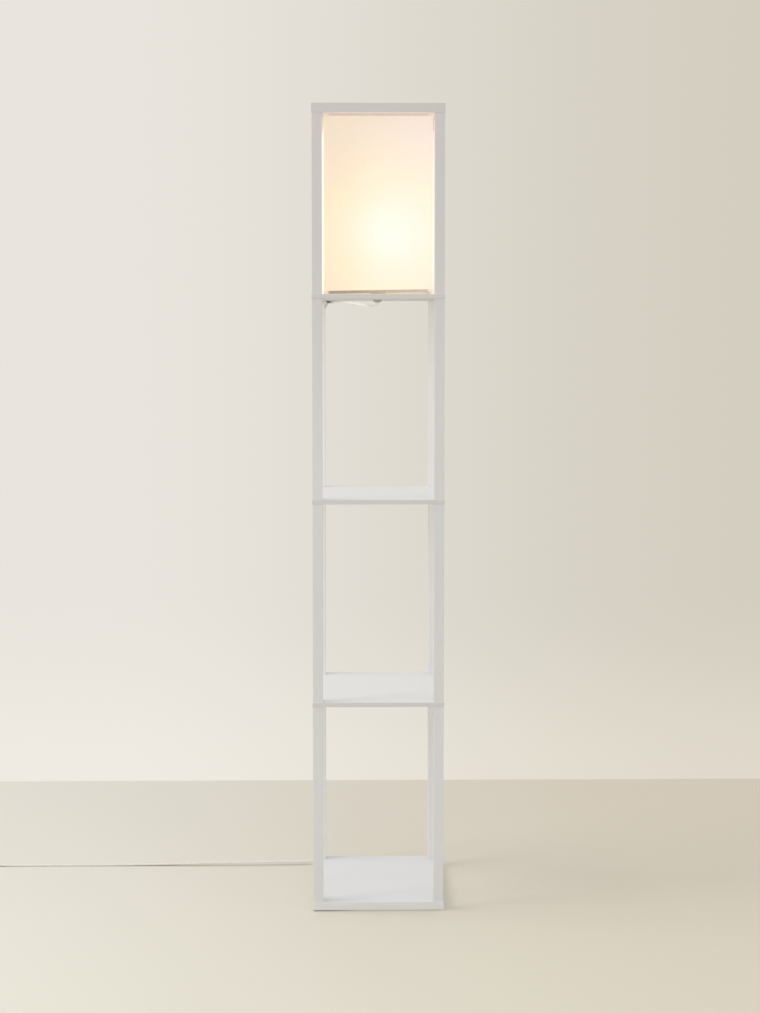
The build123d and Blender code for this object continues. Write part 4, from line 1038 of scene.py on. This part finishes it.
room_wide = 16.0
let_go()
bpy.ops.mesh.primitive_plane_add(size=room_wide)
floor = bpy.context.object
floor.name = "floor"
floor_finish = Finish("warm_floor", 0.8)
floor_finish.set("Specular IOR Level", 0.1)
# The floor is painted lighter to the left and towards the camera: a painted light.
across_floor = floor_finish.along("X").between(-0.8, 0.8)
along_floor = floor_finish.along("Y").between(-0.7, 0.7)
floor_finish.set(
    "Base Color",
    floor_finish.mix(
        along_floor,
        floor_finish.mix(across_floor, tint(233, 230, 218), tint(228, 221, 203)),
        floor_finish.mix(across_floor, tint(224, 220, 210), tint(221, 212, 195)),
    ),
)

# The floor under the base board glows, most of all towards the right: a painted light.
painted_light_under_base = 1.0
for axis in ("X", "Y"):
    painted_light_under_base = abs(floor_finish.along(axis)).between(0.132, 0.128) * painted_light_under_base
painted_light_under_base = painted_light_under_base * (0.1 + 0.9 * floor_finish.along("X").between(-0.11, -0.02))
floor_finish.set("Emission Strength", 0.28)
floor_finish.set("Emission Color", floor_finish.mix(painted_light_under_base, unlit, tint(206, 198, 181)))
floor_finish.cover(floor)

wall_behind, wall_high = 0.726, 6.0
let_go()
bpy.ops.mesh.primitive_plane_add(
    size=1.0, rotation=(math.radians(90), 0.0, 0.0), location=(0.0, wall_behind, wall_high / 2)
)
wall = bpy.context.object
wall.scale = (room_wide, wall_high, 1.0)
settled(wall, "wall")
wall_finish = Finish("warm_wall", 0.9)
# The wall is painted lighter to the left and lower down: a painted light.
across_wall = wall_finish.along("X").between(-0.75, 1.0)
up_wall = wall_finish.along("Z").between(0.0, 0.5)
wall_colour = wall_finish.mix(
    up_wall,
    wall_finish.mix(across_wall, tint(239, 235, 226), tint(224, 217, 203)),
    wall_finish.mix(across_wall, tint(233, 228, 221), tint(211, 206, 192)),
)
plain_paint = wall_finish.node("ShaderNodeEmission", None, {"Color": wall_colour, "Strength": 1.0})
looked_at = wall_finish.node("ShaderNodeLightPath", output="Is Camera Ray")
mirrored = wall_finish.node("ShaderNodeLightPath", output="Is Glossy Ray")
behind = wall_finish.node("ShaderNodeNewGeometry", output="Backfacing")
see_through = wall_finish.node("ShaderNodeBsdfTransparent")
shown = wall_finish.worked("MAXIMUM", looked_at, mirrored) * (1 - behind)
both = wall_finish.node("ShaderNodeMixShader", None, {0: shown, 1: see_through, 2: plain_paint})
wall_finish.feed(wall_finish.tree.nodes["Material Output"].inputs["Surface"], both)
wall_finish.cover(wall)

soft_box = bpy.data.lights.new("soft_box", "AREA")
soft_box.shape = "RECTANGLE"
soft_box.size = 1.8
soft_box.size_y = 1.8
soft_box.energy = 42.0
soft_box.color = (1.0, 0.985, 0.96)
lamp_head = bpy.data.objects.new("soft_box", soft_box)
bpy.context.collection.objects.link(lamp_head)
lamp_head.location = (-3.0, -0.3, 2.7)
towards_lamp = Vector((0.0, 0.0, 0.9)) - lamp_head.location
lamp_head.rotation_euler = towards_lamp.to_track_quat("-Z", "Y").to_euler()

# The fabric's own brightness stops at white, so four soft lights at its faces, which the camera
# doesn't see, give the paint round it the rest of the bulb's light.
shade_middle = (shade_low + shade_high) / 2
for name, way in (("front", (0, -1)), ("back", (0, 1)), ("left", (-1, 0)), ("right", (1, 0))):
    glow_light = bpy.data.lights.new(f"glow_{name}", "AREA")
    glow_light.shape = "RECTANGLE"
    glow_light.size = shade_side - 0.004
    glow_light.size_y = shade_tall - 0.01
    glow_light.energy = 0.14
    glow_light.color = (1.0, 0.93, 0.82)
    glow_head = bpy.data.objects.new(f"glow_{name}", glow_light)
    bpy.context.collection.objects.link(glow_head)
    outward = Vector((*way, 0.0))
    glow_head.location = outward * (shade_half + 0.0008) + Vector((0.0, 0.0, shade_middle.z))
    glow_head.rotation_euler = outward.to_track_quat("-Z", "Y").to_euler()
    glow_head.visible_camera = False
    glow_head.visible_glossy = False

view = bpy.data.cameras.new("view")
view.lens = 52.84
view.sensor_width = 36.0
view.sensor_fit = "AUTO"
view.shift_y = -0.0935
view.clip_start = 0.1
view.clip_end = 60.0
camera = bpy.data.objects.new("view", view)
bpy.context.collection.objects.link(camera)
camera.location = (-0.0323, -3.019, 1.1564)
camera.rotation_euler = (math.radians(86.75), 0.0, math.radians(-0.71))
bpy.context.scene.camera = camera
bpy.context.scene.view_settings.view_transform = "Standard"
